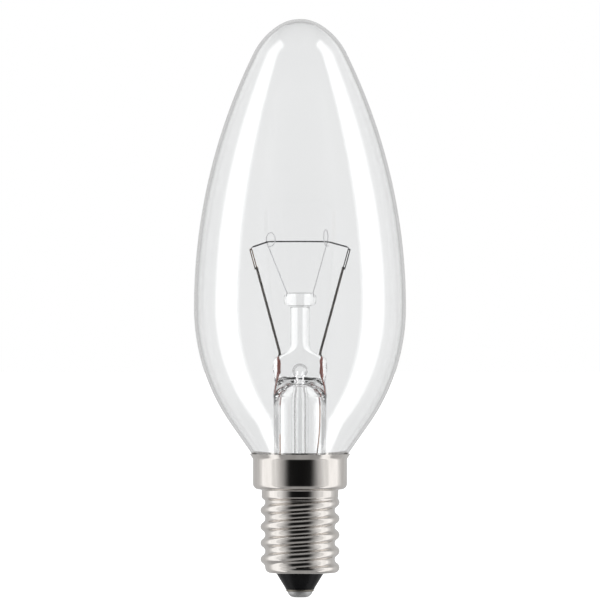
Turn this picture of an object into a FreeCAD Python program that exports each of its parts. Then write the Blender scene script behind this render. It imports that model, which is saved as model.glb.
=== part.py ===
import FreeCAD, Part

import math
import os

import Sketcher
from FreeCAD import Placement, Rotation, Vector

# A clear candle-shaped filament lamp with a small screw cap, in millimetres.
# The axis is Z with the crown of the glass up, and the foot of the contact is at Z 0.
# X runs through the two leads and -Y is the side that is seen first.

DRIVING = {
    "contact_height": 1.0,
    "contact_flat": 1.9,
    "eyelet_diameter": 4.8,
    "eyelet_sheet": 0.3,
    "eyelet_rim_rise": 0.45,
    "eyelet_hole": 1.2,
    "nose_height": 2.9,
    "nose_diameter": 5.1,
    "nose_base": 8.3,
    "nose_round": 0.3,
    "insulator_depth": 3.4,
    "funnel_diameter": 8.0,
    "funnel_depth": 1.8,
    "shell_sheet": 0.25,
    "thread_major": 13.7,
    "thread_minor": 12.1,
    "thread_pitch": 2.822,
    "thread_fade": 0.9,
    "barrel_length": 14.45,
    "barrel_corner": 0.95,
    "neck_ring": 13.3,
    "neck_ring_height": 1.15,
    "collar_diameter": 16.3,
    "collar_height": 6.15,
    "collar_corner": 1.0,
    "lip_bend": 0.8,
    "lip_gap": 0.08,
    "notch_width": 0.8,
    "notch_depth": 1.6,
    "glass_diameter": 36.66,
    "glass_height": 75.2,
    "glass_wall": 0.6,
    "belly_rise": 25.27,
    "shoulder_radius": 11.92,
    "crown_radius": 6.87,
    "crown_turn": 31.76,
    "cone_run": 6.52,
    "glass_neck": 14.0,
    "neck_bend": 7.0,
    "neck_straight": 0.16,
    "seal_depth": 4.3,
    "tube_diameter": 9.1,
    "tube_wall": 0.8,
    "flare_height": 4.1,
    "press_rise": 16.55,
    "press_height": 3.4,
    "press_width": 9.4,
    "press_thickness": 3.1,
    "press_taper": 3.2,
    "press_round": 0.6,
    "shoulder_height": 1.55,
    "cavity_depth": 4.75,
    "rod_diameter": 3.3,
    "rod_length": 7.45,
    "rod_fillet": 0.2,
    "button_diameter": 5.6,
    "button_height": 2.4,
    "button_round": 0.8,
    "button_dome": 0.12,
    "exhaust_diameter": 2.9,
    "exhaust_bore": 1.5,
    "exhaust_length": 27.0,
    "exhaust_tip": 1.6,
    "blow_hole": 1.7,
    "blow_rim": 2.7,
    "blow_rim_rise": 0.35,
    "blow_rim_round": 0.5,
    "blow_drop": 2.2,
    "lead_wire": 0.44,
    "lead_spacing": 7.0,
    "lead_riser": 0.57,
    "lead_bend": 3.0,
    "lead_angle": 15.2,
    "lead_height": 18.75,
    "weld_knot": 0.66,
    "clamp_length": 3.5,
    "clamp_overlap": 0.4,
    "clamp_sheet": 0.17,
    "clamp_slot": 0.15,
    "clamp_width": 0.88,
    "seal_wire": 0.36,
    "seal_wire_tail": 1.4,
    "fuse_wire": 0.14,
    "fuse_length": 5.0,
    "outer_wire": 0.26,
    "wire_clearance": 0.03,
    "cement_height": 1.9,
    "support_wire": 0.19,
    "support_stand": 2.3,
    "support_bury": 0.9,
    "left_loop_radius": 1.22,
    "left_loop_reach": 5.08,
    "left_loop_rise": 0.35,
    "left_loop_twist": 45.0,
    "left_loop_clearance": 0.38,
    "right_loop_radius": 1.45,
    "right_loop_reach": 4.5,
    "right_loop_rise": 0.65,
    "right_loop_twist": 70.0,
    "right_loop_clearance": 0.12,
    "loop_start": -25.0,
    "loop_sweep": 315.0,
    "loop_lead": 0.45,
    "filament_diameter": 0.3,
    "filament_tail": 0.13,
    "filament_rise": 1.4,
    "filament_bow": 2.2,
    "filament_end": 0.35,
    "side_solder_width": 2.6,
    "side_solder_rise": 0.6,
    "cut_margin": 1.0,
}


# A size is a number together with the expression that drives it from the sheet.
class Size:
    def __init__(self, value, text):
        self.value = value
        self.text = text

    def __add__(self, other):
        other = as_size(other)
        return Size(self.value + other.value, f"({self.text} + {other.text})")

    def __sub__(self, other):
        other = as_size(other)
        return Size(self.value - other.value, f"({self.text} - {other.text})")

    def __mul__(self, other):
        other = as_size(other)
        return Size(self.value * other.value, f"({self.text} * {other.text})")

    def __truediv__(self, other):
        other = as_size(other)
        return Size(self.value / other.value, f"({self.text} / {other.text})")


def as_size(entry):
    if isinstance(entry, Size):
        return entry
    return Size(float(entry), f"{float(entry)}")


def driven(name):
    return Size(DRIVING[name], f"Sizes.{name}")


def sine(angle):
    return Size(math.sin(math.radians(angle.value)), f"sin({angle.text})")


def cosine(angle):
    return Size(math.cos(math.radians(angle.value)), f"cos({angle.text})")


def tangent(angle):
    return Size(math.tan(math.radians(angle.value)), f"tan({angle.text})")


def arc_tangent(ratio):
    return Size(math.degrees(math.atan(ratio.value)), f"atan({ratio.text})")


def square_root(entry):
    return Size(math.sqrt(entry.value), f"sqrt({entry.text})")


os.makedirs("parts", exist_ok=True)
doc = FreeCAD.newDocument("candle_lamp")
sheet = doc.addObject("Spreadsheet::Sheet", "Sizes")
sheet.Label = "Sizes"
for row, (size_name, size_value) in enumerate(DRIVING.items(), start=1):
    sheet.set(f"A{row}", size_name)
    sheet.set(f"B{row}", str(size_value))
    sheet.setAlias(f"B{row}", size_name)


# A worked-out size gets a row of its own below the driving ones, with its formula.
def worked_out(name, entry):
    row = len(DRIVING) + len(WORKED_OUT) + 2
    WORKED_OUT.append(name)
    sheet.set(f"A{row}", name)
    sheet.set(f"B{row}", "=" + entry.text.replace("Sizes.", ""))
    sheet.setAlias(f"B{row}", name)
    return Size(entry.value, f"Sizes.{name}")


WORKED_OUT = []
doc.recompute()


# Sketches: every corner is placed from the sheet, and curved sides carry a radius.
def add_sketch(body, label, role, offset=None):
    sketch = body.newObject("Sketcher::SketchObject", label)
    sketch.Label = label
    plane = [item for item in body.Origin.OriginFeatures if item.Role == role][0]
    sketch.AttachmentSupport = [(plane, "")]
    sketch.MapMode = "FlatFace"
    if offset is not None:
        sketch.AttachmentOffset = Placement(Vector(0, 0, offset.value), Rotation())
        sketch.setExpression("AttachmentOffset.Base.z", offset.text)
    return sketch


def constrain(sketch, kind, *details, size=None):
    if size is None:
        return sketch.addConstraint(Sketcher.Constraint(kind, *details))
    index = sketch.addConstraint(Sketcher.Constraint(kind, *details, size.value))
    sketch.setExpression(f"Constraints[{index}]", size.text)
    return index


def place_point(sketch, element, end, across, up):
    if abs(across.value) < 1e-9:
        constrain(sketch, "PointOnObject", element, end, -2)
    else:
        constrain(sketch, "DistanceX", -1, 1, element, end, size=across)
    if abs(up.value) < 1e-9:
        constrain(sketch, "PointOnObject", element, end, -1)
    else:
        constrain(sketch, "DistanceY", -1, 1, element, end, size=up)


def arc_centre(start, finish, radius, turn):
    middle = (start + finish) * 0.5
    half = (finish - start) * 0.5
    reach = math.sqrt(max(radius * radius - half.Length ** 2, 0.0))
    side = Vector(-half.y, half.x, 0)
    side.normalize()
    return middle + side * (reach * turn)


# A turn of 1 bends to the left on the way round the outline and -1 to the right.
def draw_outline(sketch, corners, bends=None):
    bends = bends or {}
    corners = [(as_size(across), as_size(up)) for across, up in corners]
    spots = [Vector(across.value, up.value, 0) for across, up in corners]
    ends = []
    for index, start in enumerate(spots):
        finish = spots[(index + 1) % len(spots)]
        if index not in bends:
            element = sketch.addGeometry(Part.LineSegment(start, finish), False)
            ends.append((element, 1, 2))
            continue
        radius, turn = bends[index]
        centre = arc_centre(start, finish, radius.value, turn)
        first, last = (start, finish) if turn > 0 else (finish, start)
        circle = Part.Circle(centre, Vector(0, 0, 1), radius.value)
        from_angle = math.atan2(first.y - centre.y, first.x - centre.x)
        to_angle = math.atan2(last.y - centre.y, last.x - centre.x)
        if to_angle < from_angle:
            to_angle += 2 * math.pi
        element = sketch.addGeometry(Part.ArcOfCircle(circle, from_angle, to_angle), False)
        ends.append((element, 1, 2) if turn > 0 else (element, 2, 1))
    for index, (element, first_end, last_end) in enumerate(ends):
        following, following_first, following_last = ends[(index + 1) % len(ends)]
        constrain(sketch, "Coincident", element, last_end, following, following_first)
    for index, (element, first_end, last_end) in enumerate(ends):
        place_point(sketch, element, first_end, *corners[index])
        if index in bends:
            constrain(sketch, "Radius", element, size=bends[index][0])


def new_body(label):
    body = doc.addObject("PartDesign::Body", label)
    body.Label = label
    return body


def turn_outline(body, label, corners, bends=None, cut=False):
    sketch = add_sketch(body, label, "XZ_Plane")
    draw_outline(sketch, corners, bends)
    kind = "PartDesign::Groove" if cut else "PartDesign::Revolution"
    turned = body.newObject(kind, label + "_turn")
    turned.Profile = sketch
    turned.ReferenceAxis = (sketch, ["V_Axis"])
    turned.Angle = 360.0
    sketch.Visibility = False
    return turned


def cut_away(label, base, tools):
    doc.recompute()
    if len(tools) > 1:
        tool = doc.addObject("Part::MultiFuse", label + "_tools")
        tool.Shapes = tools
    else:
        tool = tools[0]
    result = doc.addObject("Part::Cut", label)
    result.Label = label
    result.Base = base
    result.Tool = tool
    return result


def mirrored(label, source):
    twin = doc.addObject("Part::Mirroring", label)
    twin.Label = label
    twin.Source = source
    twin.Base = Vector(0, 0, 0)
    twin.Normal = Vector(1, 0, 0)
    return twin


# Heights that more than one piece reads.
eyelet_foot = driven("contact_height")
nose_foot = eyelet_foot + driven("eyelet_sheet")
barrel_foot = nose_foot + driven("nose_height")
collar_foot = barrel_foot + driven("barrel_length")
lip_top = collar_foot + driven("collar_height")
belly_level = lip_top + driven("belly_rise")
glass_top = lip_top + driven("glass_height")
glass_seal = lip_top - driven("seal_depth")
press_top = lip_top + driven("press_rise")
press_foot = press_top - driven("press_height")
tube_top = press_foot - driven("press_taper")
rod_foot = press_top + driven("shoulder_height")
button_foot = rod_foot + driven("rod_length")
button_top = button_foot + driven("button_height")
button_waist = button_foot + driven("button_height") / 2
sheet_metal = driven("shell_sheet")
margin = driven("cut_margin")

# Glass bulb: tangent arcs from the crown to the cone and a bend into the straight neck.
# The flank is the arc that leaves the shoulder and stands upright at the widest level. The
# belly is the arc that leaves the cone, of a given run, and stands upright there too.
glass_radius = driven("glass_diameter") / 2
neck_radius = driven("glass_neck") / 2
neck_bend = driven("neck_bend")
bend_level = glass_seal + driven("neck_straight")
crown_radius = driven("crown_radius")
shoulder_radius = driven("shoulder_radius")
shoulder_step = shoulder_radius - crown_radius
shoulder_side = as_size(0) - shoulder_step * sine(driven("crown_turn"))
shoulder_level = glass_top - crown_radius - shoulder_step * cosine(driven("crown_turn"))
flank_reach = glass_radius - shoulder_side
flank_rise = shoulder_level - belly_level
flank_radius = worked_out("flank_radius", (
    flank_reach * flank_reach + flank_rise * flank_rise - shoulder_radius * shoulder_radius
) / ((flank_reach - shoulder_radius) * 2))
belly_reach = glass_radius - neck_radius - neck_bend
belly_drop = belly_level - bend_level
cone_run = driven("cone_run")
belly_radius = worked_out("belly_radius", (
    belly_reach * belly_reach + belly_drop * belly_drop - neck_bend * neck_bend - cone_run * cone_run
) / ((belly_reach + neck_bend) * 2))
cone = worked_out("cone_angle", (
    arc_tangent(belly_drop / (belly_radius - belly_reach))
    - arc_tangent(cone_run / (belly_radius + neck_bend))
))

# Radius of the straight cone of the glass where it meets the lip of the cap.
cone_start_level = belly_level - belly_radius * sine(cone)
cone_start_radius = glass_radius - belly_radius * (as_size(1) - cosine(cone))
glass_at_lip = cone_start_radius - (cone_start_level - lip_top) * tangent(cone)
lip_radius = worked_out("lip_radius", glass_at_lip + driven("lip_gap") + sheet_metal / cosine(cone))


def flat_spot(across, up):
    return Vector(across.value, up.value, 0)


# The inside of the glass is the same chain of arcs, set in by the wall.
def draw_bulb(sketch, inset, foot):
    crown = crown_radius - inset
    shoulder = shoulder_radius - inset
    flank = flank_radius - inset
    belly = belly_radius - inset
    bend = neck_bend + inset
    widest = glass_radius - inset
    neck = neck_radius - inset
    top = glass_top - inset
    crown_centre = flat_spot(as_size(0), glass_top - crown_radius)
    shoulder_centre = flat_spot(shoulder_side, shoulder_level)
    flank_centre = flat_spot(glass_radius - flank_radius, belly_level)
    belly_centre = flat_spot(glass_radius - belly_radius, belly_level)
    bend_centre = flat_spot(neck_radius + neck_bend, bend_level)
    crown_end = crown_centre + (crown_centre - shoulder_centre).normalize() * crown.value
    shoulder_end = shoulder_centre + (shoulder_centre - flank_centre).normalize() * shoulder.value
    belly_start = flat_spot(widest, belly_level)
    out_of_cone = Vector(cosine(cone).value, -sine(cone).value, 0)
    belly_end = belly_centre + out_of_cone * belly.value
    cone_end = bend_centre - out_of_cone * bend.value
    neck_start = flat_spot(neck, bend_level)
    neck_end = flat_spot(neck, foot)

    def add_arc(centre, radius, first, last):
        from_angle = math.atan2(first.y - centre.y, first.x - centre.x)
        to_angle = math.atan2(last.y - centre.y, last.x - centre.x)
        if to_angle < from_angle:
            to_angle += 2 * math.pi
        circle = Part.Circle(centre, Vector(0, 0, 1), radius)
        return sketch.addGeometry(Part.ArcOfCircle(circle, from_angle, to_angle), False)

    def add_line(first, last):
        return sketch.addGeometry(Part.LineSegment(first, last), False)

    crown_arc = add_arc(crown_centre, crown.value, crown_end, Vector(0, top.value, 0))
    shoulder_arc = add_arc(shoulder_centre, shoulder.value, shoulder_end, crown_end)
    flank_arc = add_arc(flank_centre, flank.value, belly_start, shoulder_end)
    belly_arc = add_arc(belly_centre, belly.value, belly_end, belly_start)
    cone_line = add_line(belly_end, cone_end)
    bend_arc = add_arc(bend_centre, bend.value, cone_end, neck_start)
    neck_line = add_line(neck_start, neck_end)
    foot_line = add_line(neck_end, Vector(0, foot.value, 0))
    axis_line = add_line(Vector(0, foot.value, 0), Vector(0, top.value, 0))
    constrain(sketch, "Tangent", crown_arc, 1, shoulder_arc, 2)
    constrain(sketch, "Tangent", shoulder_arc, 1, flank_arc, 2)
    constrain(sketch, "Tangent", flank_arc, 1, belly_arc, 2)
    constrain(sketch, "Tangent", belly_arc, 1, cone_line, 1)
    constrain(sketch, "Tangent", cone_line, 2, bend_arc, 1)
    constrain(sketch, "Tangent", bend_arc, 2, neck_line, 1)
    constrain(sketch, "Coincident", neck_line, 2, foot_line, 1)
    constrain(sketch, "Coincident", foot_line, 2, axis_line, 1)
    constrain(sketch, "Coincident", axis_line, 2, crown_arc, 2)
    constrain(sketch, "PointOnObject", crown_arc, 3, -2)
    place_point(sketch, crown_arc, 2, as_size(0), top)
    constrain(sketch, "Radius", crown_arc, size=crown)
    constrain(sketch, "Radius", shoulder_arc, size=shoulder)
    constrain(sketch, "Radius", flank_arc, size=flank)
    constrain(sketch, "Radius", belly_arc, size=belly)
    constrain(sketch, "Radius", bend_arc, size=bend)
    place_point(sketch, flank_arc, 1, widest, belly_level)
    constrain(sketch, "DistanceY", -1, 1, flank_arc, 3, size=belly_level)
    constrain(sketch, "DistanceY", -1, 1, belly_arc, 1, size=belly_level - belly * sine(cone))
    constrain(sketch, "Vertical", neck_line)
    place_point(sketch, neck_line, 2, neck, foot)
    constrain(sketch, "Horizontal", foot_line)
    constrain(sketch, "PointOnObject", foot_line, 2, -2)


glass = new_body("glass_envelope")
for outline_label, inset, foot, kind in (
    ("bulb_outside", as_size(0), glass_seal, "PartDesign::Revolution"),
    ("bulb_inside", driven("glass_wall"), glass_seal - margin, "PartDesign::Groove"),
):
    bulb_sketch = add_sketch(glass, outline_label, "XZ_Plane")
    draw_bulb(bulb_sketch, inset, foot)
    bulb_turn = glass.newObject(kind, outline_label + "_turn")
    bulb_turn.Profile = bulb_sketch
    bulb_turn.ReferenceAxis = (bulb_sketch, ["V_Axis"])
    bulb_turn.Angle = 360.0


# Rolled screw of the cap: one periodic surface carries the round-form thread, the turned-in
# corner at the foot and the plain ring above. Crests and roots are arcs of the same radius
# that meet on the mean radius. The inside is the same sheet, set in square to the surface.
TURN_COLUMNS = 24
ROWS_PER_PITCH = 12
pitch = DRIVING["thread_pitch"]
crest = DRIVING["thread_major"] / 2
root = DRIVING["thread_minor"] / 2
half_depth = (crest - root) / 2
form_radius = (half_depth ** 2 + (pitch / 4) ** 2) / (2 * half_depth)
corner = DRIVING["barrel_corner"]
corner_run = corner * math.pi / 2
thread_end = collar_foot.value - DRIVING["neck_ring_height"] - DRIVING["thread_fade"]


def thread_radius(turn, level):
    frozen = max(level, barrel_foot.value + corner)
    place = (frozen - barrel_foot.value - corner) / pitch - turn
    offset = abs((place + 0.5) % 1.0 - 0.5) * pitch
    if offset < pitch / 4:
        wave = crest - form_radius + math.sqrt(form_radius ** 2 - offset ** 2)
    else:
        wave = root + form_radius - math.sqrt(form_radius ** 2 - (pitch / 2 - offset) ** 2)
    blend = min(max((level - thread_end) / DRIVING["thread_fade"], 0.0), 1.0)
    blend = blend * blend * (3 - 2 * blend)
    return wave + (DRIVING["neck_ring"] / 2 - wave) * blend


def sheet_line(turn, run):
    if run < corner_run:
        angle = run / corner
        level = barrel_foot.value + corner * (1 - math.cos(angle))
        return thread_radius(turn, level) - corner * (1 - math.sin(angle)), level
    level = barrel_foot.value + corner + run - corner_run
    return thread_radius(turn, level), level


def sheet_point(turn, run, inset):
    radius, level = sheet_line(turn, run)
    if inset == 0:
        return radius, level
    step = 0.02
    before = sheet_line(turn, max(run - step, 0.0))
    after = sheet_line(turn, run + step)
    rise = (after[0] - before[0], after[1] - before[1])
    length = math.hypot(*rise)
    if run < step:
        return radius, level + inset
    return radius - inset * rise[1] / length, level + inset * rise[0] / length


def rolled_plug(label, inset, top_level):
    end_run = top_level - barrel_foot.value - corner + corner_run
    rows = round(end_run / (pitch / ROWS_PER_PITCH))
    step = end_run / rows
    swell = 3 / (2 + math.cos(2 * math.pi / TURN_COLUMNS))
    poles = []
    for column in range(TURN_COLUMNS):
        turn = column / TURN_COLUMNS
        knots = [sheet_point(turn, step * row, inset) for row in range(rows + 1)]
        line = [knots[0]]
        line.append((knots[0][0] + (knots[1][0] - knots[0][0]) / 3, knots[0][1]))
        for row in range(1, rows):
            line.append(tuple(
                knots[row][axis]
                - (knots[row + 1][axis] - 2 * knots[row][axis] + knots[row - 1][axis]) / 6
                for axis in (0, 1)
            ))
        line.append((knots[rows][0], knots[rows][1] - step / 3))
        line.append(knots[rows])
        angle = 2 * math.pi * turn
        poles.append([
            Vector(radius * swell * math.cos(angle), radius * swell * math.sin(angle), level)
            for radius, level in line
        ])
    surface = Part.BSplineSurface()
    surface.buildFromPolesMultsKnots(
        poles,
        [1] * (TURN_COLUMNS + 1),
        [4] + [1] * (rows - 1) + [4],
        [float(knot) for knot in range(TURN_COLUMNS + 1)],
        [step * row for row in range(rows + 1)],
        True,
        False,
        3,
        3,
    )
    side = surface.toShape()
    rings = [edge for edge in side.Edges if edge.Closed]
    faces = [side] + [Part.Face(Part.Wire([ring])) for ring in rings]
    closed = Part.makeShell(faces)
    closed.sewShape()
    solid = Part.makeSolid(closed)
    if solid.Volume < 0:
        solid.reverse()
    plug = doc.addObject("Part::Feature", label)
    plug.Shape = solid
    return plug


collar_corner = driven("collar_corner")
outside_top = collar_foot + collar_corner * 0.6
inside_top = collar_foot + collar_corner
rolled_outside = rolled_plug("rolled_outside", 0.0, outside_top.value)
rolled_inside = rolled_plug("rolled_inside", DRIVING["shell_sheet"], inside_top.value)

# Collar of the cap: a round lower corner, a straight side and a lip spread to the glass cone.
collar_radius = driven("collar_diameter") / 2
half_cone = cone / 2
lip_kink = lip_top - (lip_radius - collar_radius) / tangent(cone)


def collar_outline(inset, top):
    side = collar_radius - inset
    round_radius = collar_corner - inset
    bend_radius = driven("lip_bend") + inset
    kink = lip_kink + inset * tangent(half_cone)
    reach = bend_radius * tangent(half_cone)
    foot = collar_foot + inset
    top_radius = side + (top - kink) * tangent(cone)
    corners = [
        (0, foot),
        (side - round_radius, foot),
        (side, foot + round_radius),
        (side, kink - reach),
        (side + reach * sine(cone), kink + reach * cosine(cone)),
        (top_radius, top),
        (0, top),
    ]
    return corners, {1: (round_radius, 1), 3: (bend_radius, -1)}


collar_outside = new_body("collar_outside")
turn_outline(collar_outside, "collar_outside_line", *collar_outline(as_size(0), lip_top))
collar_inside = new_body("collar_inside")
turn_outline(collar_inside, "collar_inside_line", *collar_outline(sheet_metal, lip_top + margin))

foot_hole = doc.addObject("Part::Cylinder", "foot_hole")
foot_hole.setExpression("Radius", (driven("nose_base") / 2).text)
foot_hole.setExpression("Placement.Base.z", (barrel_foot - margin).text)
foot_hole.setExpression("Height", (sheet_metal + margin * 2).text)
notch = doc.addObject("Part::Box", "lead_notch")
notch.setExpression("Length", "Sizes.notch_width")
notch.setExpression("Width", (margin * 4).text)
notch.setExpression("Height", (driven("notch_depth") + margin).text)
notch.setExpression("Placement.Base.x", "-Sizes.notch_width / 2")
notch.setExpression("Placement.Base.y", (collar_radius - margin * 1.5).text)
notch.setExpression("Placement.Base.z", (lip_top - driven("notch_depth")).text)
shell_outside = doc.addObject("Part::MultiFuse", "shell_outside")
shell_outside.Shapes = [rolled_outside, collar_outside]
cap_shell = cut_away(
    "cap_shell", shell_outside, [rolled_inside, collar_inside, foot_hole, notch]
)

# Contact eyelet: a small dish whose rim stands in the insulator, closed by a dome of solder.
eyelet_radius = driven("eyelet_diameter") / 2
eyelet_bore = driven("eyelet_hole") / 2
eyelet_sheet = driven("eyelet_sheet")
eyelet_round = eyelet_sheet / 2
eyelet = new_body("contact_eyelet")
turn_outline(
    eyelet,
    "eyelet_outline",
    [
        (eyelet_bore, eyelet_foot),
        (eyelet_radius - eyelet_round, eyelet_foot),
        (eyelet_radius, eyelet_foot + eyelet_round),
        (eyelet_radius, nose_foot + driven("eyelet_rim_rise")),
        (eyelet_radius - eyelet_sheet, nose_foot + driven("eyelet_rim_rise")),
        (eyelet_radius - eyelet_sheet, nose_foot),
        (eyelet_bore, nose_foot),
    ],
    {1: (eyelet_round, 1)},
)

solder = new_body("solder_dome")
dome_edge = eyelet_radius - eyelet_sheet * 0.7
dome_flat = driven("contact_flat") / 2
dome_span = dome_edge - dome_flat
dome_bend = (dome_span * dome_span + eyelet_foot * eyelet_foot) / (eyelet_foot * 2)
turn_outline(
    solder,
    "solder_outline",
    [
        (0, 0),
        (dome_flat, 0),
        (dome_edge, eyelet_foot),
        (eyelet_bore, eyelet_foot),
        (eyelet_bore, nose_foot),
        (0, nose_foot + eyelet_sheet),
    ],
    {1: (dome_bend, 1)},
)

# Insulator: black glass that fills the foot of the shell and stands out below it as a nose.
nose = new_body("insulator_nose")
nose_radius = driven("nose_diameter") / 2
nose_round = driven("nose_round")
turn_outline(
    nose,
    "nose_outline",
    [
        (0, nose_foot),
        (nose_radius - nose_round, nose_foot),
        (nose_radius, nose_foot + nose_round),
        (driven("nose_base") / 2, barrel_foot),
        (driven("nose_base") / 2, barrel_foot + sheet_metal + margin / 2),
        (0, barrel_foot + sheet_metal + margin / 2),
    ],
    {1: (nose_round, 1)},
)
insulator_slab = doc.addObject("Part::Cylinder", "insulator_slab")
insulator_slab.setExpression("Radius", "Sizes.thread_major")
insulator_slab.setExpression("Placement.Base.z", barrel_foot.text)
insulator_slab.setExpression("Height", "Sizes.insulator_depth")
insulator_fill = doc.addObject("Part::MultiCommon", "insulator_fill")
insulator_fill.Shapes = [rolled_inside, insulator_slab]
insulator_blank = doc.addObject("Part::MultiFuse", "insulator_blank")
insulator_blank.Shapes = [insulator_fill, nose]
funnel = new_body("insulator_funnel")
funnel_top = barrel_foot + driven("insulator_depth")
turn_outline(
    funnel,
    "funnel_outline",
    [
        (0, nose_foot - margin / 2),
        (eyelet_bore, nose_foot - margin / 2),
        (eyelet_bore, funnel_top - driven("funnel_depth")),
        (driven("funnel_diameter") / 2, funnel_top),
        (driven("funnel_diameter") / 2, funnel_top + margin),
        (0, funnel_top + margin),
    ],
)
insulator = cut_away("cap_insulator", insulator_blank, [funnel, eyelet])

# Stem: a flared tube that is fused to the neck and pressed flat over the wires at its top.
tube_radius = driven("tube_diameter") / 2
tube_bore = tube_radius - driven("tube_wall")
rim_foot = glass_seal - driven("tube_wall")
flare_top = glass_seal + driven("flare_height")
rim_inner = neck_radius - driven("glass_wall")
flare_span = rim_inner - tube_radius
flare_rise = flare_top - glass_seal
flare_bend = (flare_span * flare_span + flare_rise * flare_rise) / (flare_span * 2)
bore_bend = flare_bend + driven("tube_wall")
bore_rise = flare_top - rim_foot
bore_flare = tube_bore + bore_bend - square_root(bore_bend * bore_bend - bore_rise * bore_rise)
cavity_top = press_top - driven("cavity_depth")
stem = new_body("stem_glass")
turn_outline(
    stem,
    "stem_outline",
    [
        (bore_flare, rim_foot),
        (neck_radius, rim_foot),
        (neck_radius, glass_seal),
        (rim_inner, glass_seal),
        (tube_radius, flare_top),
        (tube_radius, tube_top),
        (tube_bore, tube_top),
        (tube_bore, flare_top),
    ],
    {3: (flare_bend, -1), 7: (bore_bend, 1)},
)


# A flat slot with round ends, seen from above, drawn at one height of the press.
def press_section(label, level, width, thickness):
    sketch = add_sketch(stem, label, "XY_Plane", level)
    half = (width - thickness).value / 2
    radius = thickness.value / 2
    right = Part.Circle(Vector(half, 0, 0), Vector(0, 0, 1), radius)
    left = Part.Circle(Vector(-half, 0, 0), Vector(0, 0, 1), radius)
    quarter = math.pi / 2
    right_arc = sketch.addGeometry(Part.ArcOfCircle(right, -quarter, quarter), False)
    back = sketch.addGeometry(
        Part.LineSegment(Vector(half, radius, 0), Vector(-half, radius, 0)), False)
    left_arc = sketch.addGeometry(Part.ArcOfCircle(left, quarter, 3 * quarter), False)
    front = sketch.addGeometry(
        Part.LineSegment(Vector(-half, -radius, 0), Vector(half, -radius, 0)), False)
    constrain(sketch, "Tangent", right_arc, 2, back, 1)
    constrain(sketch, "Tangent", back, 2, left_arc, 1)
    constrain(sketch, "Tangent", left_arc, 2, front, 1)
    constrain(sketch, "Tangent", front, 2, right_arc, 1)
    constrain(sketch, "Horizontal", back)
    constrain(sketch, "Symmetric", right_arc, 3, left_arc, 3, -1, 1)
    constrain(sketch, "PointOnObject", right_arc, 3, -1)
    constrain(sketch, "Radius", right_arc, size=thickness / 2)
    constrain(sketch, "DistanceX", left_arc, 3, right_arc, 3, size=width - thickness)
    return sketch


press_width = driven("press_width")
press_thickness = driven("press_thickness")
press_height = driven("press_height")
tube_width = driven("tube_diameter")
taper = driven("press_taper")
shoulder_foot = press_top - driven("press_round")
shoulder_rise = driven("shoulder_height")
press_lines = [
    ("press_start", tube_top, tube_width * 1.013, tube_width * 1.004),
    ("press_swell", tube_top + taper * 0.3, tube_width * 1.005, tube_width * 0.93),
    ("press_waist", tube_top + taper * 0.65, tube_width * 0.965, tube_width * 0.7),
    ("press_foot", press_foot, press_width * 0.95, press_thickness * 1.15),
    ("press_middle", press_foot + press_height * 0.45, press_width, press_thickness),
    ("press_head", shoulder_foot, press_width * 0.99, press_thickness),
]
shoulder_lines = [
    ("shoulder_foot", shoulder_foot, press_width * 0.99, press_thickness),
    ("shoulder_edge", press_top, press_width * 0.93, press_thickness),
    ("shoulder_slope", press_top + shoulder_rise * 0.3, press_width * 0.76, press_thickness),
    ("shoulder_waist", press_top + shoulder_rise * 0.62, press_width * 0.56, press_thickness),
    ("shoulder_head", rod_foot, driven("rod_diameter") * 1.2, driven("rod_diameter")),
]


def press_loft(label, lines):
    sketches = [press_section(*line) for line in lines]
    loft = stem.newObject("PartDesign::AdditiveLoft", label)
    loft.Profile = sketches[0]
    loft.Sections = sketches[1:]
    loft.Ruled = False
    return loft


press_loft("press", press_lines)
press_loft("press_shoulder", shoulder_lines)
turn_outline(
    stem,
    "stem_cavity",
    [
        (0, tube_top - margin),
        (tube_bore, tube_top - margin),
        (tube_bore, tube_top),
        (tube_bore * 0.6, cavity_top),
        (0, cavity_top),
    ],
    {2: (tube_bore * 1.1, 1)},
    cut=True,
)

# Blow hole: a round hole in the front of the press, with a soft melted rim.
blow_level = press_top - driven("blow_drop")
blow_front = press_thickness / 2 + driven("blow_rim_rise")
rim_reach = driven("blow_rim") / 2
rim_round = driven("blow_rim_round")
rim_sketch = add_sketch(stem, "blow_rim_outline", "YZ_Plane")
draw_outline(
    rim_sketch,
    [
        (as_size(0) - blow_front, blow_level),
        (0, blow_level),
        (0, blow_level + rim_reach),
        (rim_round - blow_front, blow_level + rim_reach),
        (as_size(0) - blow_front, blow_level + rim_reach - rim_round),
    ],
    {3: (rim_round, 1)},
)
axis_line = rim_sketch.addGeometry(
    Part.LineSegment(flat_spot(as_size(0), blow_level), flat_spot(margin, blow_level)), True)
constrain(rim_sketch, "Horizontal", axis_line)
place_point(rim_sketch, axis_line, 1, as_size(0), blow_level)
constrain(rim_sketch, "DistanceX", axis_line, 1, axis_line, 2, size=margin)
rim_turn = stem.newObject("PartDesign::Revolution", "blow_rim")
rim_turn.Profile = rim_sketch
rim_turn.ReferenceAxis = (rim_sketch, ["Axis0"])
rim_turn.Angle = 360.0
hole_sketch = add_sketch(stem, "blow_hole_outline", "XZ_Plane")
hole_round = hole_sketch.addGeometry(
    Part.Circle(flat_spot(as_size(0), blow_level), Vector(0, 0, 1), DRIVING["blow_hole"] / 2), False)
place_point(hole_sketch, hole_round, 3, as_size(0), blow_level)
constrain(hole_sketch, "Radius", hole_round, size=driven("blow_hole") / 2)
hole_pocket = stem.newObject("PartDesign::Pocket", "blow_hole")
hole_pocket.Profile = hole_sketch
hole_pocket.setExpression("Length", (blow_front + margin).text)
hole_pocket.Reversed = True
turn_outline(
    stem,
    "exhaust_channel",
    [
        (0, cavity_top - margin / 2),
        (driven("exhaust_bore") / 2, cavity_top - margin / 2),
        (driven("exhaust_bore") / 2, blow_level),
        (0, blow_level),
    ],
    cut=True,
)

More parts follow.
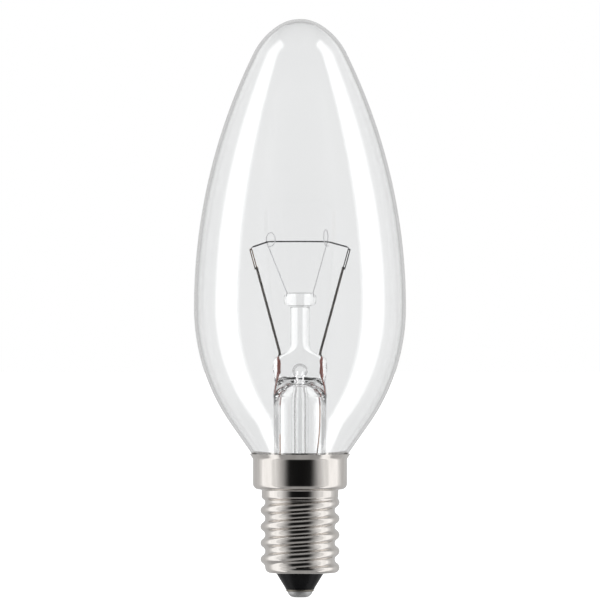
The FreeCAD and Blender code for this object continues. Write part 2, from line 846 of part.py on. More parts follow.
# Exhaust tube: hangs on the axis inside the stem and is sealed to a blunt tip.
exhaust = new_body("exhaust_tube")
exhaust_radius = driven("exhaust_diameter") / 2
exhaust_bore = driven("exhaust_bore") / 2
exhaust_foot = cavity_top - driven("exhaust_length")
tip = driven("exhaust_tip")
tip_bend = (exhaust_radius * exhaust_radius + tip * tip) / (exhaust_radius * 2)
turn_outline(
    exhaust,
    "exhaust_outline",
    [
        (0, exhaust_foot),
        (exhaust_radius, exhaust_foot + tip),
        (exhaust_radius, cavity_top),
        (exhaust_bore, cavity_top),
        (exhaust_bore, exhaust_foot + tip * 1.9),
        (0, exhaust_foot + tip),
    ],
    {0: (tip_bend, 1)},
)

# Rod and button: a solid glass rod on the press, with its end melted to a flat bead.
rod = new_body("rod_and_button")
rod_radius = driven("rod_diameter") / 2
rod_fillet = driven("rod_fillet")
button_radius = driven("button_diameter") / 2
button_round = driven("button_round")
button_edge = button_top - driven("button_dome")
turn_outline(
    rod,
    "rod_outline",
    [
        (0, rod_foot),
        (rod_radius, rod_foot),
        (rod_radius, button_foot - rod_fillet),
        (rod_radius + rod_fillet, button_foot),
        (button_radius - button_round, button_foot),
        (button_radius, button_foot + button_round),
        (button_radius, button_edge - button_round),
        (button_radius - button_round, button_edge),
        (0, button_top),
    ],
    {
        2: (rod_fillet, -1),
        4: (button_round, 1),
        6: (button_round, 1),
    },
)

# Upper leads: a wire that stands in the press, leans out and ends in a flattened hairpin
# which grips the tail of the filament.
lead_side = driven("lead_spacing") / 2
lean = driven("lead_angle")
lead_bend = driven("lead_bend")
lead_foot = press_top
bend_start = lead_foot + driven("lead_riser")
bend_end = bend_start + lead_bend * sine(lean)
bend_side = lead_side + lead_bend * (as_size(1) - cosine(lean))
lead_end = press_top + driven("lead_height")
lead_end_side = bend_side + (lead_end - bend_end) * tangent(lean)
clamp_sheet = driven("clamp_sheet")
half_slot = driven("clamp_slot") / 2
half_fold = half_slot + clamp_sheet
slot_aside = half_slot + clamp_sheet / 2
clamp_foot = as_size(0) - driven("clamp_length")
wire_end = clamp_foot + driven("clamp_overlap")


def leaned(aside, along):
    across = lead_end_side + aside * cosine(lean) + along * sine(lean)
    level = lead_end - aside * sine(lean) + along * cosine(lean)
    return across, level


lead = new_body("lead_upper_right")
lead_path = add_sketch(lead, "lead_path", "XZ_Plane")
path_points = [
    flat_spot(lead_side, lead_foot),
    flat_spot(lead_side, bend_start),
    flat_spot(bend_side, bend_end),
    flat_spot(*leaned(as_size(0), wire_end)),
]
riser = lead_path.addGeometry(Part.LineSegment(path_points[0], path_points[1]), False)
bend_middle = path_points[1] + Vector(lead_bend.value, 0, 0)
bend = lead_path.addGeometry(
    Part.ArcOfCircle(
        Part.Circle(bend_middle, Vector(0, 0, 1), lead_bend.value),
        math.pi - math.radians(lean.value),
        math.pi,
    ),
    False,
)
leaning = lead_path.addGeometry(Part.LineSegment(path_points[2], path_points[3]), False)
constrain(lead_path, "Vertical", riser)
constrain(lead_path, "Tangent", riser, 2, bend, 2)
constrain(lead_path, "Tangent", bend, 1, leaning, 1)
place_point(lead_path, riser, 1, lead_side, lead_foot)
constrain(lead_path, "DistanceY", -1, 1, riser, 2, size=bend_start)
constrain(lead_path, "Radius", bend, size=lead_bend)
place_point(lead_path, leaning, 2, *leaned(as_size(0), wire_end))
wire_section = add_sketch(lead, "lead_section", "XY_Plane", lead_foot)
wire_round = wire_section.addGeometry(
    Part.Circle(Vector(lead_side.value, 0, 0), Vector(0, 0, 1), DRIVING["lead_wire"] / 2), False)
place_point(wire_section, wire_round, 3, lead_side, as_size(0))
constrain(wire_section, "Radius", wire_round, size=driven("lead_wire") / 2)
lead_pipe = lead.newObject("PartDesign::AdditivePipe", "lead_pipe")
lead_pipe.Profile = wire_section
lead_pipe.Spine = (lead_path, ["Edge1", "Edge2", "Edge3"])
clamp_sketch = add_sketch(lead, "clamp_outline", "XZ_Plane")
draw_outline(
    clamp_sketch,
    [
        leaned(slot_aside - half_fold, clamp_foot),
        leaned(slot_aside - half_slot, clamp_foot),
        leaned(slot_aside - half_slot, as_size(0)),
        leaned(slot_aside + half_slot, as_size(0)),
        leaned(slot_aside + half_slot, clamp_foot),
        leaned(slot_aside + half_fold, clamp_foot),
        leaned(slot_aside + half_fold, as_size(0)),
        leaned(slot_aside - half_fold, as_size(0)),
    ],
    {2: (half_slot * 1.001, -1), 6: (half_fold * 1.001, 1)},
)
clamp_pad = lead.newObject("PartDesign::Pad", "clamp")
clamp_pad.Profile = clamp_sketch
clamp_pad.setExpression("Length", "Sizes.clamp_width")
clamp_pad.Midplane = True
knot = lead.newObject("PartDesign::AdditiveSphere", "weld_knot")
knot.AttachmentSupport = [
    ([item for item in lead.Origin.OriginFeatures if item.Role == "XY_Plane"][0], "")]
knot.MapMode = "FlatFace"
knot.setExpression("Radius", "Sizes.weld_knot / 2")
knot_level = lead_foot + driven("weld_knot") * 0.6
knot.AttachmentOffset = Placement(Vector(lead_side.value, 0, knot_level.value), Rotation())
knot.setExpression("AttachmentOffset.Base.x", lead_side.text)
knot.setExpression("AttachmentOffset.Base.z", knot_level.text)
doc.recompute()
lead_left = mirrored("lead_upper_left", lead)

# Seal wires: run through the press and stand out into the cavity of the stem.
seal_foot = tube_top - driven("seal_wire_tail")
seal = new_body("dumet_right")
seal_sketch = add_sketch(seal, "seal_section", "XY_Plane", seal_foot)
seal_round = seal_sketch.addGeometry(
    Part.Circle(Vector(lead_side.value, 0, 0), Vector(0, 0, 1), DRIVING["seal_wire"] / 2), False)
place_point(seal_sketch, seal_round, 3, lead_side, as_size(0))
constrain(seal_sketch, "Radius", seal_round, size=driven("seal_wire") / 2)
seal_pad = seal.newObject("PartDesign::Pad", "seal_pad")
seal_pad.Profile = seal_sketch
seal_pad.setExpression("Length", (lead_foot - seal_foot).text)
seal_left = mirrored("dumet_left", seal)

# Fuse link below the left seal wire.
fuse = doc.addObject("Part::Cylinder", "fuse_link")
fuse.Label = "fuse_link"
fuse.setExpression("Radius", "Sizes.fuse_wire / 2")
fuse.setExpression("Height", "Sizes.fuse_length")
fuse.setExpression("Placement.Base.x", f"-{lead_side.text}")
fuse.setExpression("Placement.Base.z", (seal_foot - driven("fuse_length")).text)

stem_flare = cut_away("stem_flare", stem, [seal, seal_left, lead, lead_left])


# Middle of the arc that is tangent to two equal runs which meet at a corner.
def arc_middle(start, corner_spot, finish):
    chord_middle = (start + finish) * 0.5
    height = (corner_spot - chord_middle).Length
    half_chord = (finish - start).Length / 2
    run = math.hypot(height, half_chord)
    sagitta = half_chord * (run - half_chord) / height
    return chord_middle + (corner_spot - chord_middle) * (sagitta / height)


# Round wire: straight runs joined by tangent arcs that are as large as the runs allow.
def wire_solid(points, radius):
    spots = [Vector(*point) for point in points]
    edges = []
    last = spots[0]
    for before, spot, after in zip(spots, spots[1:], spots[2:]):
        share = 0.47 * min((spot - before).Length, (after - spot).Length)
        start = spot - (spot - before).normalize() * share
        finish = spot + (after - spot).normalize() * share
        edges.append(Part.LineSegment(last, start).toShape())
        edges.append(Part.Arc(start, arc_middle(start, spot, finish), finish).toShape())
        last = finish
    edges.append(Part.LineSegment(last, spots[-1]).toShape())
    section = Part.Wire([Part.makeCircle(radius, spots[0], spots[1] - spots[0])])
    return Part.Wire(edges).makePipeShell([section], True, False)


def wire_piece(label, shape):
    piece = doc.addObject("Part::Feature", label)
    piece.Label = label
    piece.Shape = shape
    return piece


# Outer leads: one drops on the axis to the contact, the other rises over the lip at the back.
side = lead_side.value
wire_top = seal_foot.value
outer_radius = DRIVING["outer_wire"] / 2
fuse_foot = wire_top - DRIVING["fuse_length"]
funnel_level = funnel_top.value
barrel_drop = fuse_foot - funnel_level
centre_lead = wire_piece("lead_lower_left", wire_solid([
    (-side, 0, fuse_foot),
    (-side, 0, fuse_foot - barrel_drop * 0.33),
    (-side * 0.91, 0, funnel_level + barrel_drop * 0.29),
    (-side * 0.69, 0, funnel_level + barrel_drop * 0.1),
    (0, 0, funnel_level - DRIVING["funnel_depth"] * 0.67),
    (0, 0, eyelet_foot.value * 0.45),
], outer_radius))
gap_radius = collar_radius.value - DRIVING["shell_sheet"] - outer_radius - DRIVING["wire_clearance"]
rim_level = rim_foot.value
stem_drop = wire_top - rim_level
under_rim = rim_level - collar_foot.value - DRIVING["shell_sheet"]
notch_depth = DRIVING["notch_depth"]
side_lead = wire_piece("lead_lower_right", wire_solid([
    (side, 0, wire_top),
    (side, 0, wire_top - stem_drop * 0.29),
    (side * 0.86, side * 0.2, rim_level + stem_drop * 0.36),
    (side * 0.69, side * 0.74, rim_level + stem_drop * 0.087),
    (side * 0.29, side * 1.31, rim_level - under_rim * 0.62),
    (0, gap_radius - under_rim * 0.62, rim_level - under_rim * 0.56),
    (0, gap_radius, rim_level + under_rim * 1.1),
    (0, gap_radius, lip_top.value - notch_depth * 0.75),
    (0, gap_radius + DRIVING["shell_sheet"] * 3, lip_top.value - notch_depth * 0.375),
], outer_radius))
solder_piece = cut_away("contact_solder", solder, [centre_lead])

# Cement between the glass neck and the collar of the cap.
cement_top = glass_seal + driven("cement_height")
cement_rise = cement_top - bend_level
cement_inner = neck_radius + neck_bend - square_root(neck_bend * neck_bend - cement_rise * cement_rise)
collar_bore = collar_radius - sheet_metal
floor_round = collar_corner - sheet_metal
cement_floor = collar_foot + sheet_metal
cement = new_body("cement_ring")
turn_outline(
    cement,
    "cement_outline",
    [
        (driven("neck_ring") / 2 - sheet_metal * 0.2, cement_floor),
        (collar_bore - floor_round, cement_floor),
        (collar_bore, cement_floor + floor_round),
        (collar_bore, cement_top),
        (cement_inner, cement_top),
        (neck_radius, bend_level),
        (neck_radius, rim_foot),
        (driven("neck_ring") / 2 - sheet_metal * 0.2, rim_foot),
    ],
    {1: (floor_round, 1), 4: (neck_bend, 1)},
)
cement_piece = cut_away("capping_cement", cement, [side_lead])

# Spot of solder that joins the side lead to the lip, at the back.
spot = doc.addObject("Part::Ellipsoid", "solder_spot")
spot.setExpression("Radius1", "Sizes.side_solder_rise")
spot.setExpression("Radius2", "Sizes.side_solder_width / 2")
spot.setExpression("Radius3", "Sizes.side_solder_width / 2 * 0.8")
spot.Placement = Placement(
    Vector(0, collar_radius.value + DRIVING["shell_sheet"] * 0.4, lip_top.value - notch_depth * 0.69),
    Rotation(Vector(1, 0, 0), -90),
)
spot_cut = cut_away("side_solder_blank", spot, [cap_shell, side_lead, collar_inside])

# Support hooks: an arm out of the button that ends in a pigtail loop round the filament.
# The arm passes behind the filament and the loop comes down in front of it.
grip_side, grip_level = [entry.value for entry in leaned(slot_aside, as_size(0))]
bow = DRIVING["filament_bow"]
coil_radius = DRIVING["filament_diameter"] / 2
hook_radius = DRIVING["support_wire"] / 2
coil_level = grip_level + DRIVING["filament_rise"]
hold = coil_radius + hook_radius
LOOP_STEPS = 12


# Where the filament crosses a loop, measured out from the axis.
def crossing(hand):
    rise = DRIVING[hand + "_loop_rise"]
    reach = math.sqrt(DRIVING[hand + "_loop_radius"] ** 2 - rise ** 2)
    return reach - hold - DRIVING[hand + "_loop_clearance"]


def hook(hand, sign):
    radius = DRIVING[hand + "_loop_radius"]
    twist = math.radians(DRIVING[hand + "_loop_twist"])
    across = Vector(sign * math.cos(twist), math.sin(twist), 0)
    forward = Vector(sign * math.sin(twist), -math.cos(twist), 0)
    centre = Vector(
        sign * DRIVING[hand + "_loop_reach"],
        -bow - crossing(hand) * math.sin(twist),
        coil_level + DRIVING[hand + "_loop_rise"],
    )
    loop = []
    for step in range(LOOP_STEPS + 1):
        share = step / LOOP_STEPS
        angle = math.radians(DRIVING["loop_start"] + DRIVING["loop_sweep"] * share)
        place = centre + across * (math.cos(angle) * radius) + Vector(0, 0, math.sin(angle) * radius)
        loop.append(place + forward * (DRIVING["loop_lead"] * (share - 0.5)))
    stand = Vector(sign * DRIVING["support_stand"], -DRIVING["support_stand"] * 0.3, button_top.value)
    along = (stand - loop[0]).normalize()
    foot = stand + along * DRIVING["support_bury"]
    return wire_solid([tuple(spot) for spot in [foot] + loop], hook_radius)


hook_left = wire_piece("support_hook_left", hook("left", -1))
hook_right = wire_piece("support_hook_right", hook("right", 1))

# Filament with its thin tails in the hairpins, bowed to the front and held by the two hooks.
end_gap = DRIVING["filament_end"]
coil_end = Vector(grip_side - end_gap, -end_gap * 1.6, grip_level + end_gap * 1.45)
grip_front = DRIVING["clamp_width"] * 0.82
grip_back = DRIVING["clamp_width"] / 2


def kink(hand):
    twist = math.radians(DRIVING[hand + "_loop_twist"])
    return DRIVING[hand + "_loop_reach"] + crossing(hand) * math.cos(twist)


def aside(spot, sign):
    return (sign * spot.x, spot.y, spot.z)


left_kink = Vector(kink("left"), -bow, coil_level)
right_kink = Vector(kink("right"), -bow, coil_level)
coil = wire_solid([
    aside(coil_end, -1),
    aside(left_kink, -1),
    (0, -bow - coil_radius, coil_level + coil_radius * 0.2),
    aside(right_kink, 1),
    aside(coil_end, 1),
], coil_radius)


def tail(sign, last_kink):
    along = (coil_end - last_kink).normalize()
    inside = coil_end - along * (coil_radius * 0.8)
    outside = coil_end + along * (coil_radius * 1.6)
    return wire_solid([
        aside(inside, sign),
        aside(outside, sign),
        (sign * grip_side, -grip_front, grip_level),
        (sign * grip_side, grip_back, grip_level),
    ], DRIVING["filament_tail"] / 2)


tails = [tail(-1, left_kink), tail(1, right_kink)]
filament = wire_piece("filament", coil.fuse(tails).removeSplitter())
stem_rod = cut_away("stem_rod", rod, [hook_left, hook_right])
doc.recompute()

for item in doc.Objects:
    if "Invalid" in item.State or "Error" in item.State:
        raise RuntimeError(f"{item.Label} did not build: {item.State}")

PIECES = [
    ("glass_envelope", glass),
    ("stem_flare", stem_flare),
    ("exhaust_tube", exhaust),
    ("stem_rod", stem_rod),
    ("support_hook_left", hook_left),
    ("support_hook_right", hook_right),
    ("filament", filament),
    ("lead_upper_left", lead_left),
    ("lead_upper_right", lead),
    ("dumet_left", seal_left),
    ("dumet_right", seal),
    ("fuse_link", fuse),
    ("lead_lower_left", centre_lead),
    ("lead_lower_right", side_lead),
    ("cap_shell", cap_shell),
    ("cap_insulator", insulator),
    ("contact_eyelet", eyelet),
    ("contact_solder", solder_piece),
    ("capping_cement", cement_piece),
    ("side_solder", spot_cut),
]
for piece_name, piece in PIECES:
    shape = piece.Shape
    if shape.isNull() or not shape.isValid():
        raise RuntimeError(f"{piece_name} has no valid shape")
    shape.exportStep(f"parts/{piece_name}.step")
    box = shape.BoundBox
    print(piece_name, len(shape.Solids), round(shape.Volume, 3),
          [round(v, 2) for v in (box.XMin, box.XMax, box.YMin, box.YMax, box.ZMin, box.ZMax)])
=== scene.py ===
import bpy
import bmesh
import math
from mathutils import Matrix, Vector


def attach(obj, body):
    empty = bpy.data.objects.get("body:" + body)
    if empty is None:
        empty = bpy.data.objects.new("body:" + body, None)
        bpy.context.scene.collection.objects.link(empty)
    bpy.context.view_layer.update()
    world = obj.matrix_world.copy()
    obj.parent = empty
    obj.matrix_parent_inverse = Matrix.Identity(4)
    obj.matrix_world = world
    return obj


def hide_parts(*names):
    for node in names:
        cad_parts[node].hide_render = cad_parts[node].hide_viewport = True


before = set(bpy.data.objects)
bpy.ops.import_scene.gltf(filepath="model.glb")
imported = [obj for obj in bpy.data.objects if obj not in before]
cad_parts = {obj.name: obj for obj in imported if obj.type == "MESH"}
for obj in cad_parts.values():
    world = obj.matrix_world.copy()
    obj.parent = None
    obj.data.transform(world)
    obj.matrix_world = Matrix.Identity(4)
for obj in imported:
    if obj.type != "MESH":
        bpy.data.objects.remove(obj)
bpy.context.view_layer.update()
scene = bpy.context.scene
mm = 0.001
print("frame loaded:", len(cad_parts), "pieces")


# helpers for outlines and meshes
def arcPoints(centre, radius, fromAngle, toAngle, steps):
    # angles in degrees, from the outward direction towards up
    points = []
    for step in range(steps + 1):
        angle = math.radians(fromAngle + (toAngle - fromAngle) * step / steps)
        points.append((centre[0] + radius * math.cos(angle), centre[1] + radius * math.sin(angle)))
    return points


def linePoints(start, finish, steps):
    return [
        (start[0] + (finish[0] - start[0]) * step / steps, start[1] + (finish[1] - start[1]) * step / steps)
        for step in range(steps + 1)
    ]


def joinRuns(*runs):
    # one list of points from several, without a point twice where two runs meet
    points = []
    for run in runs:
        for point in run:
            if not points or math.dist(points[-1], point) > 1e-4:
                points.append(point)
    return points


def linkObject(name, data):
    made = bpy.data.objects.new(name, data)
    scene.collection.objects.link(made)
    return made


def linkShape(name, shape):
    mesh = bpy.data.meshes.new(name)
    shape.to_mesh(mesh)
    shape.free()
    return linkObject(name, mesh)


def evaluatedMesh(made):
    bpy.context.view_layer.update()
    return bpy.data.meshes.new_from_object(made.evaluated_get(bpy.context.evaluated_depsgraph_get()))


def shadeSmooth(mesh, angle=None):
    mesh.polygons.foreach_set("use_smooth", [True] * len(mesh.polygons))
    if angle is not None:
        mesh.set_sharp_from_angle(angle=math.radians(angle))


def ringPoint(halfWidth, halfDepth, angle):
    # a point of a slot with round ends, whose flats are very slightly crowned
    crownShare = 0.3
    flat = halfWidth - halfDepth
    spread = math.sin(math.pi / 2 * max(-1, min(1, math.cos(angle) / crownShare)))
    return flat * spread + halfDepth * math.cos(angle), halfDepth * math.sin(angle)


def loftRings(name, outline, segments, closed=False):
    # outline is a list of (half width, half depth, height) in millimetres, from one end to the other
    shape = bmesh.new()
    rings = []
    for halfWidth, halfDepth, height in outline:
        if halfWidth < 1e-5:
            rings.append([shape.verts.new((0, 0, height * mm))])
            continue
        ring = []
        for index in range(segments):
            x, y = ringPoint(halfWidth, halfDepth, 2 * math.pi * index / segments)
            ring.append(shape.verts.new((x * mm, y * mm, height * mm)))
        rings.append(ring)
    pairs = list(zip(rings, rings[1:]))
    if closed:
        pairs.append((rings[-1], rings[0]))
    for low, high in pairs:
        if len(low) == 1 and len(high) == 1:
            continue
        for index in range(segments):
            after = (index + 1) % segments
            if len(low) == 1:
                shape.faces.new((low[0], high[after], high[index]))
            elif len(high) == 1:
                shape.faces.new((low[index], low[after], high[0]))
            else:
                shape.faces.new((low[index], low[after], high[after], high[index]))
    bmesh.ops.recalc_face_normals(shape, faces=shape.faces)
    return linkShape(name, shape)


def roundSections(outline):
    return [(radius, radius, height) for radius, height in outline]


def lathe(name, outline, segments, closed=False):
    # outline is a list of (radius, height) in millimetres, turned about the axis
    return loftRings(name, roundSections(outline), segments, closed)


def boxTool(name, centre, size):
    shape = bmesh.new()
    place = Matrix.Translation(Vector(centre) * mm) @ Matrix.Diagonal((*size, 1))
    bmesh.ops.create_cube(shape, size=mm, matrix=place)
    return linkShape(name, shape)


def meltTogether(target, tool, operation):
    modifier = target.modifiers.new(operation, "BOOLEAN")
    modifier.operation = operation
    modifier.solver = "EXACT"
    modifier.object = tool
    mesh = evaluatedMesh(target)
    target.modifiers.clear()
    target.data = mesh
    bpy.data.objects.remove(tool)


# helpers for node trees
def mathNode(tree, operation, *values):
    node = tree.nodes.new("ShaderNodeMath")
    node.operation = operation
    for index, value in enumerate(values):
        if isinstance(value, (int, float)):
            node.inputs[index].default_value = value
        else:
            tree.links.new(value, node.inputs[index])
    return node.outputs[0]


def splitNode(tree, place):
    split = tree.nodes.new("ShaderNodeSeparateXYZ")
    tree.links.new(place, split.inputs[0])
    return split.outputs


def objectPlace(tree):
    return tree.nodes.new("ShaderNodeTexCoord").outputs["Object"]


def newMaterial(name):
    material = bpy.data.materials.new(name)
    material.use_nodes = True
    tree = material.node_tree
    shader = tree.nodes["Principled BSDF"]
    return material, tree, shader


def noiseNode(tree, scale, detail=3.0, roughness=0.5, stretch=(1, 1, 1)):
    mapping = tree.nodes.new("ShaderNodeMapping")
    mapping.inputs["Scale"].default_value = stretch
    noise = tree.nodes.new("ShaderNodeTexNoise")
    noise.inputs["Scale"].default_value = scale
    noise.inputs["Detail"].default_value = detail
    noise.inputs["Roughness"].default_value = roughness
    tree.links.new(objectPlace(tree), mapping.inputs["Vector"])
    tree.links.new(mapping.outputs["Vector"], noise.inputs["Vector"])
    return noise.outputs["Fac"]


def rampNode(tree, factor, stops):
    ramp = tree.nodes.new("ShaderNodeValToRGB")
    elements = ramp.color_ramp.elements
    while len(elements) < len(stops):
        elements.new(0.5)
    for element, (place, colour) in zip(elements, stops):
        element.position = place
        element.color = (*colour, 1)
    tree.links.new(factor, ramp.inputs["Fac"])
    return ramp.outputs["Color"]


def greyRamp(tree, factor, stops):
    return rampNode(tree, factor, [(place, (level, level, level)) for place, level in stops])


def colourFrom(tree, shader, noise, dark, light):
    # most of the noise lies between these two places
    colour = rampNode(tree, noise, [(0.3, dark), (0.7, light)])
    tree.links.new(colour, shader.inputs["Base Color"])


def roughnessFrom(tree, shader, noise, rough):
    node = tree.nodes.new("ShaderNodeMapRange")
    node.inputs["To Min"].default_value, node.inputs["To Max"].default_value = rough
    tree.links.new(noise, node.inputs["Value"])
    tree.links.new(node.outputs["Result"], shader.inputs["Roughness"])


def bumpNode(tree, shader, height, strength, distance):
    bump = tree.nodes.new("ShaderNodeBump")
    bump.inputs["Strength"].default_value = strength
    bump.inputs["Distance"].default_value = distance
    tree.links.new(height, bump.inputs["Height"])
    tree.links.new(bump.outputs["Normal"], shader.inputs["Normal"])
    return bump


def within(tree, value, reach, softness):
    # 1 where the value lies within the reach, with a soft edge
    edge = tree.nodes.new("ShaderNodeMapRange")
    edge.interpolation_type = "SMOOTHSTEP"
    edge.inputs["From Min"].default_value = reach - softness
    edge.inputs["From Max"].default_value = reach + softness
    edge.inputs["To Min"].default_value = 1.0
    edge.inputs["To Max"].default_value = 0.0
    tree.links.new(mathNode(tree, "ABSOLUTE", value), edge.inputs["Value"])
    return edge.outputs["Result"]


def heightZone(tree, low, high, softness):
    # 1 between two levels of the lamp, in millimetres
    up = splitNode(tree, objectPlace(tree))[2]
    fromMiddle = mathNode(tree, "SUBTRACT", up, (low + high) / 2 * mm)
    return within(tree, fromMiddle, (high - low) / 2 * mm, softness * mm)


def mixNode(tree, factor, first, second):
    # colour one where the factor is 0, colour two where it is 1
    mix = tree.nodes.new("ShaderNodeMix")
    mix.data_type = "RGBA"
    tree.links.new(factor, mix.inputs[0])
    for socket, value in ((mix.inputs[6], first), (mix.inputs[7], second)):
        if isinstance(value, (int, float)):
            socket.default_value = (value, value, value, 1)
        elif isinstance(value, tuple):
            socket.default_value = (*value, 1)
        else:
            tree.links.new(value, socket)
    return mix.outputs[2]


def clearWhere(tree, shader, factor, level=1.0):
    # lets rays straight through where the factor is 1
    clear = tree.nodes.new("ShaderNodeBsdfTransparent")
    clear.inputs["Color"].default_value = (level, level, level, 1)
    mix = tree.nodes.new("ShaderNodeMixShader")
    tree.links.new(factor, mix.inputs[0])
    tree.links.new(shader.outputs[0], mix.inputs[1])
    tree.links.new(clear.outputs[0], mix.inputs[2])
    tree.links.new(mix.outputs[0], tree.nodes["Material Output"].inputs["Surface"])


# finishes: each has a light and a dark colour, a least and a most roughness, and the scale of its grain
clearGlass = {"waveDepth": 0.0004, "shadowLevel": 0.93}


def makeGlass(name, light, dark, ior, wave, grain, melted=None):
    # clear glass with a faint waviness; lamps shine through it so that what it holds is lit
    material, tree, shader = newMaterial(name)
    shader.inputs["Transmission Weight"].default_value = 1.0
    shader.inputs["IOR"].default_value = ior
    shader.inputs["Roughness"].default_value = 0.0
    noise = noiseNode(tree, grain, detail=2.0)
    colourFrom(tree, shader, noise, dark, light)
    bump = bumpNode(tree, shader, noise, wave, clearGlass["waveDepth"])
    if melted:
        # the zone that was pinched while soft stays uneven
        zone = heightZone(tree, melted["low"], melted["high"], melted["softness"])
        strength = mathNode(tree, "MULTIPLY_ADD", zone, melted["unevenness"], wave)
        tree.links.new(strength, bump.inputs["Strength"])
    path = tree.nodes.new("ShaderNodeLightPath")
    clearWhere(tree, shader, path.outputs["Is Shadow Ray"], clearGlass["shadowLevel"])
    return material


def makeMetal(name, light, dark, rough, grain, stretch=(1, 1, 1), bump=0.1, depth=0.00001):
    material, tree, shader = newMaterial(name)
    shader.inputs["Metallic"].default_value = 1.0
    noise = noiseNode(tree, grain, detail=5.0, roughness=0.6, stretch=stretch)
    colourFrom(tree, shader, noise, dark, light)
    roughnessFrom(tree, shader, noise, rough)
    bumpNode(tree, shader, noise, bump, depth)
    return material


def makePlain(name, light, dark, rough, grain, bump=0.1, depth=0.00002, coat=0.0, shine=0.5):
    material, tree, shader = newMaterial(name)
    shader.inputs["Specular IOR Level"].default_value = shine
    shader.inputs["Coat Weight"].default_value = coat
    shader.inputs["Coat Roughness"].default_value = 0.05
    noise = noiseNode(tree, grain, detail=4.0)
    colourFrom(tree, shader, noise, dark, light)
    roughnessFrom(tree, shader, noise, rough)
    bumpNode(tree, shader, noise, bump, depth)
    return material


def makeLeadWithPaintedClamp(name, clampPaintedLight):
    # drawn nickel wire whose clamp gets painted light in place of the wire's colour: a painted highlight on
    # one lead, painted shade on the other
    material = makeMetal(name, *leadWire["finish"])
    tree = material.node_tree
    colour = tree.nodes["Principled BSDF"].inputs["Base Color"]
    zone = heightZone(tree, *leadWire["clampPaintedZone"])
    tree.links.new(mixNode(tree, zone, colour.links[0].from_socket, clampPaintedLight), colour)
    return material


pressZone = {"low": 37.0, "high": 40.8, "softness": 0.8, "unevenness": 1.0}
leadWire = {
    "finish": ((0.22, 0.205, 0.19), (0.1, 0.092, 0.085), (0.35, 0.55), 2500),
    # the clamp zone is where painted light goes on the clamps: a painted gold highlight on the left lead,
    # painted shade on the right
    "clampPaintedZone": (57.1, 64.9, 0.4),  # lowest level, highest level and softness
    "paintedGoldHighlight": (0.46, 0.31, 0.2), "paintedDarkShade": (0.035, 0.032, 0.028),
}
bulbGlass = makeGlass("bulbGlass", (0.945, 0.948, 0.949), (0.932, 0.936, 0.938), 1.5, 0.004, 45)
stemGlass = makeGlass("stemGlass", (0.999, 1.0, 1.0), (0.992, 0.994, 0.994), 1.46, 0.01, 520, pressZone)
nickelPlate = makeMetal("nickelPlate", (0.72, 0.69, 0.66), (0.62, 0.59, 0.56), (0.09, 0.18), 900,
                        stretch=(1, 1, 0.15))
blackGlass = makePlain("blackGlass", (0.008, 0.008, 0.009), (0.003, 0.003, 0.004), (0.2, 0.35), 500,
                       bump=0.15, shine=0.12)
solderTin = makeMetal("solderTin", (0.6, 0.6, 0.6), (0.4, 0.4, 0.4), (0.45, 0.65), 900,
                      bump=0.5, depth=0.00006)
eyeletBrass = makeMetal("eyeletBrass", (0.3, 0.28, 0.24), (0.18, 0.165, 0.14), (0.45, 0.6), 1200)
nickelWire = makeMetal("nickelWire", *leadWire["finish"])
# the left lead's clamp carries a painted gold highlight
leadPaintedHighlight = makeLeadWithPaintedClamp("leadPaintedHighlight", leadWire["paintedGoldHighlight"])
# the right lead's clamp carries painted shade, near black
leadPaintedShade = makeLeadWithPaintedClamp("leadPaintedShade", leadWire["paintedDarkShade"])
sealWire = makePlain("sealWire", (0.42, 0.12, 0.08), (0.24, 0.06, 0.045), (0.25, 0.45), 2500, coat=0.5)
copperWire = makeMetal("copperWire", (0.75, 0.42, 0.28), (0.5, 0.26, 0.17), (0.25, 0.45), 2500)
supportMolybdenum = makePlain("supportMolybdenum", (0.8, 0.8, 0.81), (0.66, 0.66, 0.67), (0.35, 0.5), 3000)
filamentTungsten = makeMetal("filamentTungsten", (0.16, 0.16, 0.165), (0.07, 0.07, 0.075), (0.4, 0.6), 3000)
bakedCement = makePlain("bakedCement", (0.72, 0.67, 0.58), (0.52, 0.48, 0.41), (0.8, 0.95), 1500,
                        bump=0.4, depth=0.0001)
print("finishes made")

# the glass bulb: tangent arcs turned round the axis, with a real wall
bulb = {
    "top": 100.0, "width": 36.66, "wall": 0.6, "bellyLevel": 50.07, "crown": 6.87, "shoulder": 11.92,
    "flank": 99.3, "belly": 34.96, "coneAngle": 35.0, "neck": 14.0, "neckBend": 7.0, "seal": 20.5,
    "segments": 320, "crease": 50,
}


